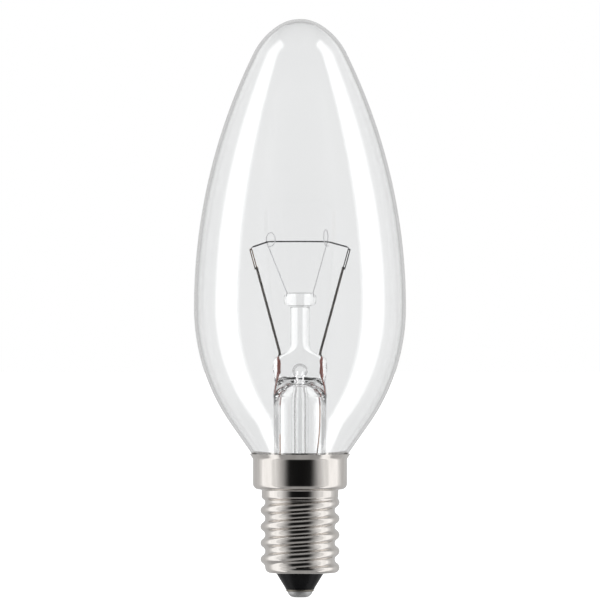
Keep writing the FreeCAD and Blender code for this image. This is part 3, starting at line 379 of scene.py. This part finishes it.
def bulbOutline(inset):
    crown, shoulder = bulb["crown"] - inset, bulb["shoulder"] - inset
    flank, belly = bulb["flank"] - inset, bulb["belly"] - inset
    widest = bulb["width"] / 2 - inset
    neck, bend = bulb["neck"] / 2 - inset, bulb["neckBend"] + inset
    level, cone = bulb["bellyLevel"], bulb["coneAngle"]
    crownCentre = Vector((0, bulb["top"] - inset - crown))
    flankCentre = Vector((widest - flank, level))
    # the shoulder's centre stands at a known distance from those of crown and flank
    span = flankCentre - crownCentre
    near, far = shoulder - crown, flank - shoulder
    along = (near ** 2 - far ** 2 + span.length_squared) / (2 * span.length)
    aside = math.sqrt(near ** 2 - along ** 2)
    ahead = span.normalized()
    sideways = Vector((-ahead.y, ahead.x))
    options = [crownCentre + ahead * along + sideways * (aside * side) for side in (1, -1)]
    shoulderCentre = min(options, key=lambda spot: spot.y)
    joinHigh = math.degrees(math.atan2(*(crownCentre - shoulderCentre).yx))
    joinLow = math.degrees(math.atan2(*(shoulderCentre - flankCentre).yx))
    slope = math.radians(cone)
    bellyEnd = (widest - belly + belly * math.cos(slope), level - belly * math.sin(slope))
    run = (bellyEnd[0] - neck - bend * (1 - math.cos(slope))) / math.sin(slope)
    coneEnd = (bellyEnd[0] - run * math.sin(slope), bellyEnd[1] - run * math.cos(slope))
    bendCentre = (neck + bend, coneEnd[1] - bend * math.sin(slope))
    return joinRuns(
        arcPoints(crownCentre, crown, 90, joinHigh, 14),
        arcPoints(shoulderCentre, shoulder, joinHigh, joinLow, 10),
        arcPoints(flankCentre, flank, joinLow, 0, 44),
        arcPoints((widest - belly, level), belly, 0, -cone, 30),
        linePoints(bellyEnd, coneEnd, 8),
        arcPoints(bendCentre, bend, 180 - cone, 180, 12),
        linePoints((neck, bendCentre[1]), (neck, bulb["seal"]), 2),
    )


bulbWall = bulbOutline(0) + list(reversed(bulbOutline(bulb["wall"])))
glassBulb = lathe("glassBulb", bulbWall, bulb["segments"])
shadeSmooth(glassBulb.data, bulb["crease"])
glassBulb.data.materials.append(bulbGlass)
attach(glassBulb, "root")
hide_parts("glass_envelope")
print("glass bulb made")


# helpers for trees that shape geometry
def newShapeTree(name, shapeLabel, sizes, resultLabel):
    # a tree with one shape, its sizes and a material coming in, and one shape going out
    tree = bpy.data.node_groups.new(name, "GeometryNodeTree")
    face = tree.interface
    face.new_socket(shapeLabel, in_out="INPUT", socket_type="NodeSocketGeometry")
    for label, value in sizes.items():
        socket = face.new_socket(label, in_out="INPUT", socket_type="NodeSocketFloat")
        socket.default_value = value
    face.new_socket("Finish", in_out="INPUT", socket_type="NodeSocketMaterial")
    face.new_socket(resultLabel, in_out="OUTPUT", socket_type="NodeSocketGeometry")
    return tree, tree.nodes.new("NodeGroupInput"), tree.nodes.new("NodeGroupOutput")


def endShapeTree(tree, shape, source, result):
    realize = tree.nodes.new("GeometryNodeRealizeInstances")
    paint = tree.nodes.new("GeometryNodeSetMaterial")
    tree.links.new(shape, realize.inputs[0])
    tree.links.new(realize.outputs[0], paint.inputs["Geometry"])
    tree.links.new(source.outputs["Finish"], paint.inputs["Material"])
    tree.links.new(paint.outputs[0], result.inputs[0])


def bakeNodes(name, carrier, tree, finish):
    # runs a node tree on the carrier and keeps the result as a plain mesh
    modifier = carrier.modifiers.new("nodes", "NODES")
    modifier.node_group = tree
    for item in tree.interface.items_tree:
        if item.item_type == "SOCKET" and item.in_out == "INPUT" and item.name == "Finish":
            modifier[item.identifier] = finish
    mesh = evaluatedMesh(carrier)
    mesh.name = name
    bpy.data.objects.remove(carrier)
    return linkObject(name, mesh)


# the rolled cap: a plain sheet turned round the axis, then the thread pressed into it
cap = {
    "foot": 4.2, "hole": 8.3, "sheet": 0.25, "corner": 0.95, "major": 13.7, "minor": 12.1, "pitch": 2.822,
    "threadTop": 16.6, "fade": 0.9, "footFade": 1.3, "neckRing": 13.3, "collarFoot": 18.65, "collar": 16.3,
    "collarCorner": 1.0, "collarFillet": 0.25, "lip": 17.49, "lipTop": 24.8, "lipBend": 0.8, "lipAngle": 35.0,
    "segments": 192, "blendSteps": 8, "crease": 50,
    "notchWidth": 0.8, "notchDepth": 1.6, "notchReach": 4.0, "notchInset": 0.5,
}


def capOutline(inset):
    mean = (cap["major"] + cap["minor"]) / 4 - inset
    foot, corner = cap["foot"] + inset, cap["corner"] - inset
    ring, side = cap["neckRing"] / 2 - inset, cap["collar"] / 2 - inset
    floor, rounded = cap["collarFoot"] + inset, cap["collarCorner"] - inset
    fillet, threadTop = cap["collarFillet"], cap["threadTop"]
    fadeTop = threadTop + cap["fade"]
    slope = math.radians(cap["lipAngle"])
    half = math.tan(slope / 2)
    bend = cap["lipBend"] + inset
    kink = cap["lipTop"] - (cap["lip"] - cap["collar"]) / 2 / math.tan(slope) + inset * half
    lipRadius = side + (cap["lipTop"] - kink) * math.tan(slope)
    bendFoot = kink - bend * half
    blend = []
    for step in range(cap["blendSteps"] + 1):
        share = step / cap["blendSteps"]
        eased = 3 * share ** 2 - 2 * share ** 3
        blend.append((mean + (ring - mean) * eased, threadTop + cap["fade"] * share))
    return joinRuns(
        linePoints((cap["hole"] / 2, foot), (mean - corner, foot), 8),
        arcPoints((mean - corner, foot + corner), corner, -90, 0, 10),
        linePoints((mean, foot + corner), (mean, threadTop), 90),
        blend,
        linePoints((ring, fadeTop), (ring, floor - fillet), 4),
        arcPoints((ring + fillet, floor - fillet), fillet, 180, 90, 5),
        linePoints((ring + fillet, floor), (side - rounded, floor), 3),
        arcPoints((side - rounded, floor + rounded), rounded, -90, 0, 10),
        linePoints((side, floor + rounded), (side, bendFoot), 8),
        arcPoints((side + bend, bendFoot), bend, 180, 180 - cap["lipAngle"], 6),
        linePoints((side + bend * (1 - math.cos(slope)), bendFoot + bend * math.sin(slope)),
                   (lipRadius, cap["lipTop"]), 4),
    )


def rolledThreadTree():
    # presses a round-form screw into a plain sheet: arcs of one radius for crest and root
    tree, source, result = newShapeTree("rolledThread", "Sheet", {
        "Pitch": cap["pitch"] * mm, "Depth": (cap["major"] - cap["minor"]) / 2 * mm,
        "First Crest": (cap["foot"] + cap["corner"]) * mm, "Thread Top": cap["threadTop"] * mm,
        "Fade": cap["fade"] * mm, "Hole Radius": cap["hole"] / 2 * mm, "Foot Fade": cap["footFade"] * mm,
    }, "Shell")

    def calc(operation, *values):
        return mathNode(tree, operation, *values)

    def square(value):
        return calc("MULTIPLY", value, value)

    def smoothStep(value, start, finish, low, high):
        step = tree.nodes.new("ShaderNodeMapRange")
        step.interpolation_type = "SMOOTHSTEP"
        step.inputs["To Min"].default_value = low
        step.inputs["To Max"].default_value = high
        for label, output in (("Value", value), ("From Min", start), ("From Max", finish)):
            tree.links.new(output, step.inputs[label])
        return step.outputs["Result"]

    x, y, z = splitNode(tree, tree.nodes.new("GeometryNodeInputPosition").outputs[0])
    pitch, depth, firstCrest = (source.outputs[label] for label in ("Pitch", "Depth", "First Crest"))
    threadTop, holeRadius = source.outputs["Thread Top"], source.outputs["Hole Radius"]
    turn = calc("DIVIDE", calc("ARCTAN2", y, x), 2 * math.pi)
    climb = calc("SUBTRACT", calc("MAXIMUM", z, firstCrest), firstCrest)
    phase = calc("SUBTRACT", calc("DIVIDE", climb, pitch), turn)
    nearest = calc("ABSOLUTE", calc("WRAP", phase, 0.5, -0.5))
    away = calc("MULTIPLY", nearest, pitch)  # distance from the nearest crest
    half = calc("DIVIDE", depth, 2.0)
    quarter = calc("DIVIDE", pitch, 4.0)
    form = calc("DIVIDE", calc("ADD", square(half), square(quarter)), depth)  # radius of crest and root
    crestArc = calc("SQRT", calc("SUBTRACT", square(form), square(away)))
    crest = calc("ADD", calc("SUBTRACT", crestArc, form), half)
    far = calc("SUBTRACT", calc("MULTIPLY", quarter, 2.0), away)
    rootArc = calc("SQRT", calc("SUBTRACT", square(form), square(far)))
    root = calc("SUBTRACT", calc("SUBTRACT", form, rootArc), half)
    onCrest = calc("LESS_THAN", away, quarter)
    onRoot = calc("SUBTRACT", 1.0, onCrest)
    wave = calc("ADD", calc("MULTIPLY", crest, onCrest), calc("MULTIPLY", root, onRoot))

    radius = calc("SQRT", calc("ADD", square(x), square(y)))
    fadeTop = calc("ADD", threadTop, source.outputs["Fade"])
    footEnd = calc("ADD", holeRadius, source.outputs["Foot Fade"])
    fadeOut = smoothStep(z, threadTop, fadeTop, 1.0, 0.0)
    fadeIn = smoothStep(radius, holeRadius, footEnd, 0.0, 1.0)
    push = calc("MULTIPLY", calc("MULTIPLY", wave, fadeOut), fadeIn)
    outward = tree.nodes.new("ShaderNodeCombineXYZ")
    tree.links.new(calc("MULTIPLY", calc("DIVIDE", x, radius), push), outward.inputs["X"])
    tree.links.new(calc("MULTIPLY", calc("DIVIDE", y, radius), push), outward.inputs["Y"])
    move = tree.nodes.new("GeometryNodeSetPosition")
    tree.links.new(source.outputs["Sheet"], move.inputs["Geometry"])
    tree.links.new(outward.outputs[0], move.inputs["Offset"])
    endShapeTree(tree, move.outputs[0], source, result)
    return tree


capWall = capOutline(0) + list(reversed(capOutline(cap["sheet"])))
capSheet = lathe("capSheet", capWall, cap["segments"], closed=True)
capShell = bakeNodes("capShell", capSheet, rolledThreadTree(), nickelPlate)
# the side lead comes out through a notch in the lip, at the back
notch = boxTool("notch", (0, cap["collar"] / 2 + cap["notchInset"], cap["lipTop"]),
                (cap["notchWidth"], cap["notchReach"], cap["notchDepth"] * 2))
meltTogether(capShell, notch, "DIFFERENCE")
shadeSmooth(capShell.data, cap["crease"])
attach(capShell, "root")
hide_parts("cap_shell")
print("rolled cap made")

# the coiled filament between the clamps, and its thin tails
filament = {
    "end": (8.135, -0.56, 60.566), "leftKink": 5.4645, "rightKink": 4.8185, "bow": 2.2, "level": 61.458,
    "middleBow": 0.15, "middleRise": 0.03, "kinkBend": 1.1,
    "gripSide": 8.485, "gripLevel": 60.058, "clampFront": 0.722, "clampBack": 0.44,
    "coil": 0.3, "wire": 0.075, "turns": 150, "turnPoints": 12, "wireSides": 6,
    "tail": 0.13, "tailOverlap": 0.12, "tailLead": 0.24,
}


def vectorMath(tree, operation, *links):
    node = tree.nodes.new("ShaderNodeVectorMath")
    node.operation = operation
    for index, link in enumerate(links):
        tree.links.new(link, node.inputs[index])
    return node


def coilTree():
    # winds a wire round a path, which is resampled, pushed aside turn by turn and given a round section
    tree, source, result = newShapeTree("woundCoil", "Path", {
        "Turns": float(filament["turns"]), "Turn Points": float(filament["turnPoints"]),
        "Coil Radius": (filament["coil"] - filament["wire"]) / 2 * mm,
        "Wire Radius": filament["wire"] / 2 * mm,
    }, "Coil")
    turns = source.outputs["Turns"]
    resample = tree.nodes.new("GeometryNodeResampleCurve")
    tree.links.new(source.outputs["Path"], resample.inputs["Curve"])
    count = mathNode(tree, "MULTIPLY", turns, source.outputs["Turn Points"])
    tree.links.new(count, resample.inputs["Count"])
    along = tree.nodes.new("GeometryNodeSplineParameter").outputs["Factor"]
    angle = mathNode(tree, "MULTIPLY", mathNode(tree, "MULTIPLY", along, turns), 2 * math.pi)
    heading = tree.nodes.new("GeometryNodeInputTangent").outputs[0]
    side = vectorMath(tree, "CROSS_PRODUCT", heading)
    side.inputs[1].default_value = (0, 0, 1)
    up = vectorMath(tree, "CROSS_PRODUCT", side.outputs[0], heading)
    parts = []
    for direction, wave in ((side, "COSINE"), (up, "SINE")):
        scaled = vectorMath(tree, "SCALE", direction.outputs[0])
        reach = mathNode(tree, "MULTIPLY", mathNode(tree, wave, angle), source.outputs["Coil Radius"])
        tree.links.new(reach, scaled.inputs["Scale"])
        parts.append(scaled.outputs[0])
    move = tree.nodes.new("GeometryNodeSetPosition")
    tree.links.new(resample.outputs[0], move.inputs["Geometry"])
    tree.links.new(vectorMath(tree, "ADD", *parts).outputs[0], move.inputs["Offset"])
    section = tree.nodes.new("GeometryNodeCurvePrimitiveCircle")
    section.inputs["Resolution"].default_value = filament["wireSides"]
    tree.links.new(source.outputs["Wire Radius"], section.inputs["Radius"])
    sweep = tree.nodes.new("GeometryNodeCurveToMesh")
    sweep.inputs["Fill Caps"].default_value = True
    tree.links.new(move.outputs[0], sweep.inputs["Curve"])
    tree.links.new(section.outputs[0], sweep.inputs["Profile Curve"])
    endShapeTree(tree, sweep.outputs[0], source, result)
    return tree


def smoothPath(name, points):
    curve = bpy.data.curves.new(name, "CURVE")
    curve.dimensions = "3D"
    spline = curve.splines.new("NURBS")
    spline.points.add(len(points) - 1)
    for point, (x, y, z) in zip(spline.points, points):
        point.co = (x * mm, y * mm, z * mm, 1)
    spline.order_u = 3
    spline.use_endpoint_u = True
    spline.resolution_u = 16
    return linkObject(name, curve)


def wireTube(name, points, radius):
    made = smoothPath(name + "Path", points)
    made.data.bevel_depth = radius * mm
    made.data.bevel_resolution = 3
    made.data.use_fill_caps = True
    mesh = evaluatedMesh(made)
    bpy.data.objects.remove(made)
    return linkObject(name, mesh)


def onSide(spot, sign):
    return Vector((sign * spot[0], spot[1], spot[2]))


def bendAt(kink, before, after):
    # the wire is straight up to a short bend over the hook
    reach = filament["kinkBend"]
    return [kink + (before - kink).normalized() * reach, kink, kink + (after - kink).normalized() * reach]


coilEnd = Vector(filament["end"])
leftKink, rightKink = [Vector((filament[label], -filament["bow"], filament["level"]))
                       for label in ("leftKink", "rightKink")]
leftEnd, leftTop = onSide(coilEnd, -1), onSide(leftKink, -1)
middle = Vector((0, -filament["bow"] - filament["middleBow"], filament["level"] + filament["middleRise"]))
coilCarrier = smoothPath("coilPath", [leftEnd] + bendAt(leftTop, leftEnd, middle) + [middle]
                         + bendAt(rightKink, middle, coilEnd) + [coilEnd])
woundCoil = bakeNodes("woundCoil", coilCarrier, coilTree(), filamentTungsten)
tailPieces = []
for sign, kink in ((-1, leftKink), (1, rightKink)):
    along = (coilEnd - kink).normalized()
    tail = wireTube("tail", [
        onSide(coilEnd - along * filament["tailOverlap"], sign),
        onSide(coilEnd + along * filament["tailLead"], sign),
        (sign * filament["gripSide"], -filament["clampFront"], filament["gripLevel"]),
        (sign * filament["gripSide"], filament["clampBack"], filament["gripLevel"]),
    ], filament["tail"] / 2)
    tail.data.materials.append(filamentTungsten)
    tailPieces.append(tail)
coilPieces = [woundCoil] + tailPieces
with bpy.context.temp_override(active_object=woundCoil, selected_editable_objects=coilPieces):
    bpy.ops.object.join()
shadeSmooth(woundCoil.data)
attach(woundCoil, "root")
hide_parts("filament")
print("filament wound")

# the stem: flared tube, press, rod, button and exhaust tube are one piece of melted glass
# press is a list of (half width, half depth, level), from the tube up to the rod
stem = {
    "rim": (7.0, 19.7), "seal": (6.4, 20.5), "flareTop": 24.6, "tube": 9.1, "bore": 7.5, "tubeTop": 34.75,
    "pressRunUp": 0.5,
    "press": [(4.61, 4.57, 34.75), (4.573, 4.232, 35.71), (4.391, 3.185, 36.83), (4.465, 1.783, 37.95),
              (4.7, 1.55, 39.48), (4.653, 1.55, 40.75), (4.371, 1.55, 41.35), (3.572, 1.55, 41.815),
              (2.632, 1.56, 42.31), (1.96, 1.64, 42.9), (1.68, 1.65, 43.6)],
    "domeLevel": 36.6, "domeRound": 0.4, "hollow": 4.125, "hollowCentre": (-0.068, 33.187),
    "hollowFrom": 55.8, "hollowTo": 22.3,
    "exhaust": 2.9, "exhaustTip": 9.6, "exhaustRound": 1.6, "channel": 1.5, "channelSegments": 72,
    "blowLevel": 39.15, "blowFront": 1.9, "blowHole": 1.7, "blowRim": 2.7, "blowRound": 0.5,
    "blowOvercut": 0.6, "blowSegments": 64,
    "rod": 3.3, "rodFoot": 44.2, "rodFillet": 0.2, "buttonFoot": 50.35, "button": 5.6, "buttonRound": 0.8,
    "buttonTop": 52.75, "buttonDome": 0.12, "segments": 144, "pressSteps": 7, "crease": 38,
}


def pressAxis(before, start, finish, after, axis, share):
    # a smooth line through the sections, kept flat where it turns, so that nothing swells past a section
    span = finish[2] - start[2]
    rise = (finish[axis] - start[axis]) / span
    leave = (start[axis] - before[axis]) / max(start[2] - before[2], 1e-6)
    arrive = (after[axis] - finish[axis]) / max(after[2] - finish[2], 1e-6)
    leave = 2 * leave * rise / (leave + rise) if leave * rise > 0 else 0.0
    arrive = 2 * arrive * rise / (arrive + rise) if arrive * rise > 0 else 0.0
    square, cube = share ** 2, share ** 3
    return (
        start[axis] * (2 * cube - 3 * square + 1) + finish[axis] * (3 * square - 2 * cube)
        + leave * span * (cube - 2 * square + share) + arrive * span * (cube - square)
    )


def smoothSections(sections, steps):
    # runs a smooth line through the widths and depths of the sections
    full = [sections[0]] + sections + [sections[-1]]
    points = []
    for before, start, finish, after in zip(full, full[1:], full[2:], full[3:]):
        for step in range(steps):
            share = step / steps
            width, depth = [pressAxis(before, start, finish, after, axis, share) for axis in (0, 1)]
            points.append((width, depth, start[2] + (finish[2] - start[2]) * share))
    return points + [sections[-1]]


def flareArc(radius, foot):
    # concave bell of the flare, from its foot up to the straight tube
    centre = stem["tube"] / 2 + flareBend
    low = math.degrees(math.asin((stem["flareTop"] - foot) / radius))
    return arcPoints((centre, stem["flareTop"]), radius, 180 + low, 180, 12)


tubeSide, boreSide, exhaustSide = stem["tube"] / 2, stem["bore"] / 2, stem["exhaust"] / 2
sealSide, sealLevel = stem["seal"]
rimSide, rimLevel = stem["rim"]
flareSpan, flareRise = sealSide - tubeSide, stem["flareTop"] - sealLevel
flareBend = (flareSpan ** 2 + flareRise ** 2) / (2 * flareSpan)
tipRound = (exhaustSide ** 2 + stem["exhaustRound"] ** 2) / (2 * exhaustSide)
tipAngle = math.degrees(math.asin(stem["exhaustRound"] / tipRound))
tipLevel = stem["exhaustTip"] + stem["exhaustRound"]
domeRound, domeFoot = stem["domeRound"], stem["domeLevel"] - stem["domeRound"]
rodSide, buttonSide = stem["rod"] / 2, stem["button"] / 2
fillet, rounding = stem["rodFillet"], stem["buttonRound"]
buttonFoot, buttonEdge = stem["buttonFoot"], stem["buttonTop"] - stem["buttonDome"]
inside = joinRuns(
    arcPoints((exhaustSide - tipRound, tipLevel), tipRound, -tipAngle, 0, 10),
    linePoints((exhaustSide, tipLevel), (exhaustSide, domeFoot), 12),
    arcPoints((exhaustSide + domeRound, domeFoot), domeRound, 180, 90, 6),
    arcPoints(stem["hollowCentre"], stem["hollow"], stem["hollowFrom"], stem["hollowTo"], 10),
    linePoints((boreSide, stem["tubeTop"]), (boreSide, stem["flareTop"]), 6),
    list(reversed(flareArc(flareBend + tubeSide - boreSide, rimLevel))),
)
foot = [(rimSide, rimLevel), (rimSide, sealLevel)]
outside = joinRuns(
    flareArc(flareBend, sealLevel),
    linePoints((tubeSide, stem["flareTop"]), (tubeSide, stem["tubeTop"] - stem["pressRunUp"]), 6),
)
rod = joinRuns(
    linePoints((rodSide, stem["rodFoot"]), (rodSide, buttonFoot - fillet), 4),
    arcPoints((rodSide + fillet, buttonFoot - fillet), fillet, 180, 90, 5),
    linePoints((rodSide + fillet, buttonFoot), (buttonSide - rounding, buttonFoot), 2),
    arcPoints((buttonSide - rounding, buttonFoot + rounding), rounding, -90, 0, 10),
    arcPoints((buttonSide - rounding, buttonEdge - rounding), rounding, 0, 90, 10),
    linePoints((buttonSide - rounding, buttonEdge), (0, stem["buttonTop"]), 4),
)
stemOutline = roundSections([(0, stem["exhaustTip"])] + inside[1:] + foot + outside)
stemOutline += smoothSections(stem["press"], stem["pressSteps"]) + roundSections(rod)
stemBody = loftRings("fusedStem", stemOutline, stem["segments"])

hole, rim = stem["blowHole"] / 2, stem["blowRim"] / 2
blowRound, blowFront = stem["blowRound"], stem["blowFront"]
blowRim = lathe("blowRim", joinRuns(
    [(0, 0), (rim, 0)], arcPoints((rim - blowRound, blowFront - blowRound), blowRound, 0, 90, 8),
    [(0, blowFront)]), stem["blowSegments"])
holeEnd = blowFront + stem["blowOvercut"]
blowHole = lathe("blowHole", [(0, 0), (hole, 0), (hole, holeEnd), (0, holeEnd)], stem["blowSegments"])
toFront = Matrix.Translation((0, 0, stem["blowLevel"] * mm)) @ Matrix.Rotation(math.radians(90), 4, "X")
for tool in (blowRim, blowHole):
    tool.data.transform(toFront)
# the exhaust tube opens at its upper end into the blow hole
channelBore = linePoints((stem["channel"] / 2, tipLevel), (stem["channel"] / 2, stem["blowLevel"]), 20)
channel = lathe("channel", [(0, tipLevel)] + channelBore + [(0, stem["blowLevel"])], stem["channelSegments"])

meltTogether(stemBody, blowRim, "UNION")
meltTogether(stemBody, blowHole, "DIFFERENCE")
meltTogether(stemBody, channel, "DIFFERENCE")
shadeSmooth(stemBody.data, stem["crease"])
stemBody.data.materials.clear()
stemBody.data.materials.append(stemGlass)
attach(stemBody, "root")
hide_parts("stem_flare", "stem_rod", "exhaust_tube")
print("stem melted")

# the other pieces keep the shape they were made with and get their finish
nodeFinishes = {
    "lead_upper_left": leadPaintedHighlight, "lead_upper_right": leadPaintedShade, "fuse_link": nickelWire,
    "dumet_left": sealWire, "dumet_right": sealWire,
    "lead_lower_left": copperWire, "lead_lower_right": copperWire,
    "support_hook_left": supportMolybdenum, "support_hook_right": supportMolybdenum,
    "cap_insulator": blackGlass, "contact_eyelet": eyeletBrass, "capping_cement": bakedCement,
    "contact_solder": solderTin, "side_solder": solderTin,
}
for node, material in nodeFinishes.items():
    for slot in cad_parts[node].material_slots:
        slot.material = material
print("pieces finished")

# floor, light and camera; levels are brightnesses, lengths are metres
# a ramp is a list of (place, level): room and roomInGlass run from the front to the back of the room,
# behind runs from the left to the right of the backdrop
studio = {
    "floorHalf": 4.0, "floorGrey": 0.82, "floorGlow": 0.85,
    "panelAt": 0.45, "panelWidth": 0.26, "panelTop": 0.75, "panelLight": 1.35, "panelInGlass": 2.4,
    "panelSideSoft": 0.02, "panelTopSoft": 0.03,
    "overhead": 0.42, "overheadFrom": 0.62, "overheadSoft": 0.24,
    "room": [(0.0, 0.008), (0.05, 0.014), (0.075, 0.09), (0.14, 0.5), (0.26, 1.0), (0.65, 1.05),
             (0.77, 0.7), (1.0, 0.6)],
    "roomInGlass": [(0.0, 0.3), (0.1, 0.38), (0.34, 0.45), (0.64, 0.88), (0.77, 0.65), (0.93, 0.6),
                    (1.0, 0.72)],
    "behind": [(0.0, 1.1), (0.27, 1.1), (0.3, 1.3), (0.4, 1.3), (0.43, 1.0), (0.57, 1.0), (0.6, 1.3),
               (0.85, 1.3), (1.0, 1.1)],
}
view = {"lens": 451.0, "sensor": 36.0, "away": 1.3, "level": 0.0514, "farthest": 20.0}


def makeFloor():
    reach = studio["floorHalf"]
    mesh = bpy.data.meshes.new("floor")
    corners = [(-reach, -reach, 0), (reach, -reach, 0), (reach, reach, 0), (-reach, reach, 0)]
    mesh.from_pydata(corners, [], [(0, 1, 2, 3)])
    floor = linkObject("floor", mesh)
    material, tree, shader = newMaterial("paleFloor")
    shader.inputs["Base Color"].default_value = (*[studio["floorGrey"]] * 3, 1)
    shader.inputs["Roughness"].default_value = 0.9
    shader.inputs["Specular IOR Level"].default_value = 0.0
    shader.inputs["Emission Color"].default_value = (1, 1, 1, 1)
    path = tree.nodes.new("ShaderNodeLightPath")
    glow = mathNode(tree, "MULTIPLY", path.outputs["Is Camera Ray"], studio["floorGlow"])
    tree.links.new(glow, shader.inputs["Emission Strength"])
    # what glass and metal show goes on below the floor, so that no edge of it crosses them
    mirrored = mathNode(tree, "GREATER_THAN", path.outputs["Glossy Depth"], 0.5)
    clearWhere(tree, shader, mathNode(tree, "MAXIMUM", mirrored, path.outputs["Is Transmission Ray"]))
    floor.data.materials.append(material)


def addPanel(name, side):
    # a soft box beside the lamp; what metal and glass mirror of it is drawn in the room below
    light = bpy.data.lights.new(name, "AREA")
    light.shape = "RECTANGLE"
    light.size = studio["panelWidth"]
    light.size_y = studio["panelTop"]
    light.energy = studio["panelLight"] * math.pi * studio["panelWidth"] * studio["panelTop"]
    made = linkObject(name, light)
    made.location = (side * studio["panelAt"], 0, studio["panelTop"] / 2)
    made.rotation_euler = Vector((-side, 0, 0)).to_track_quat("-Z", "Y").to_euler()
    made.visible_camera = False
    made.visible_transmission = False
    made.visible_glossy = False


def makeRoom():
    # the room is dark towards the camera and pale behind, with a tall soft box on each side;
    # clear glass shows the boxes stronger and the room weaker than plated metal does
    world = bpy.data.worlds.new("studio")
    world.use_nodes = True
    scene.world = world
    tree = world.node_tree

    def calc(operation, *values):
        return mathNode(tree, operation, *values)

    path = tree.nodes.new("ShaderNodeLightPath").outputs
    across, deep, up = splitNode(tree, tree.nodes.new("ShaderNodeTexCoord").outputs["Generated"])
    flat = calc("SQRT", calc("ADD", calc("MULTIPLY", across, across), calc("MULTIPLY", deep, deep)))
    facing = calc("DIVIDE", deep, calc("MAXIMUM", flat, 0.001))
    turned = calc("MULTIPLY_ADD", facing, 0.5, 0.5)
    sharp = path["Is Singular Ray"]  # 1 for what clear glass mirrors, 0 for what rough metal does
    room = mixNode(tree, sharp, greyRamp(tree, turned, studio["room"]),
                   greyRamp(tree, turned, studio["roomInGlass"]))
    level = within(tree, up, studio["overheadFrom"], studio["overheadSoft"])
    room = mixNode(tree, level, studio["overhead"], room)
    beside = calc("MAXIMUM", calc("ABSOLUTE", across), 0.001)
    sideReach, topReach = studio["panelWidth"] / 2 / studio["panelAt"], studio["panelTop"] / studio["panelAt"]
    boxSide = within(tree, calc("DIVIDE", deep, beside), sideReach, studio["panelSideSoft"])
    boxTop = within(tree, calc("DIVIDE", up, beside), topReach, studio["panelTopSoft"])
    box = mixNode(tree, sharp, studio["panelLight"], studio["panelInGlass"])
    mirrored = mixNode(tree, calc("MULTIPLY", boxSide, boxTop), room, box)
    # what is bent far aside by the stem meets the brighter sides of the backdrop
    behind = greyRamp(tree, calc("MULTIPLY_ADD", across, 0.5, 0.5), studio["behind"])
    seen = mixNode(tree, path["Is Camera Ray"], behind, 1.0)
    # 1 for what is looked at directly or straight through glass, 0 once a ray has been mirrored
    looking = calc("MAXIMUM", path["Is Camera Ray"], path["Is Transmission Ray"])
    straight = calc("MULTIPLY", looking, calc("LESS_THAN", path["Glossy Depth"], 0.5))
    tree.links.new(mixNode(tree, straight, mirrored, seen), tree.nodes["Background"].inputs["Color"])


def addCamera():
    camera = bpy.data.cameras.new("camera")
    camera.lens = view["lens"]
    camera.sensor_width = view["sensor"]
    camera.clip_end = view["farthest"]
    made = linkObject("camera", camera)
    made.location = (0, -view["away"], view["level"])
    made.rotation_euler = (math.radians(90), 0, 0)
    scene.camera = made


makeFloor()
addPanel("panelLeft", -1)
addPanel("panelRight", 1)
makeRoom()
addCamera()
scene.view_settings.view_transform = "Standard"
print("stage set")
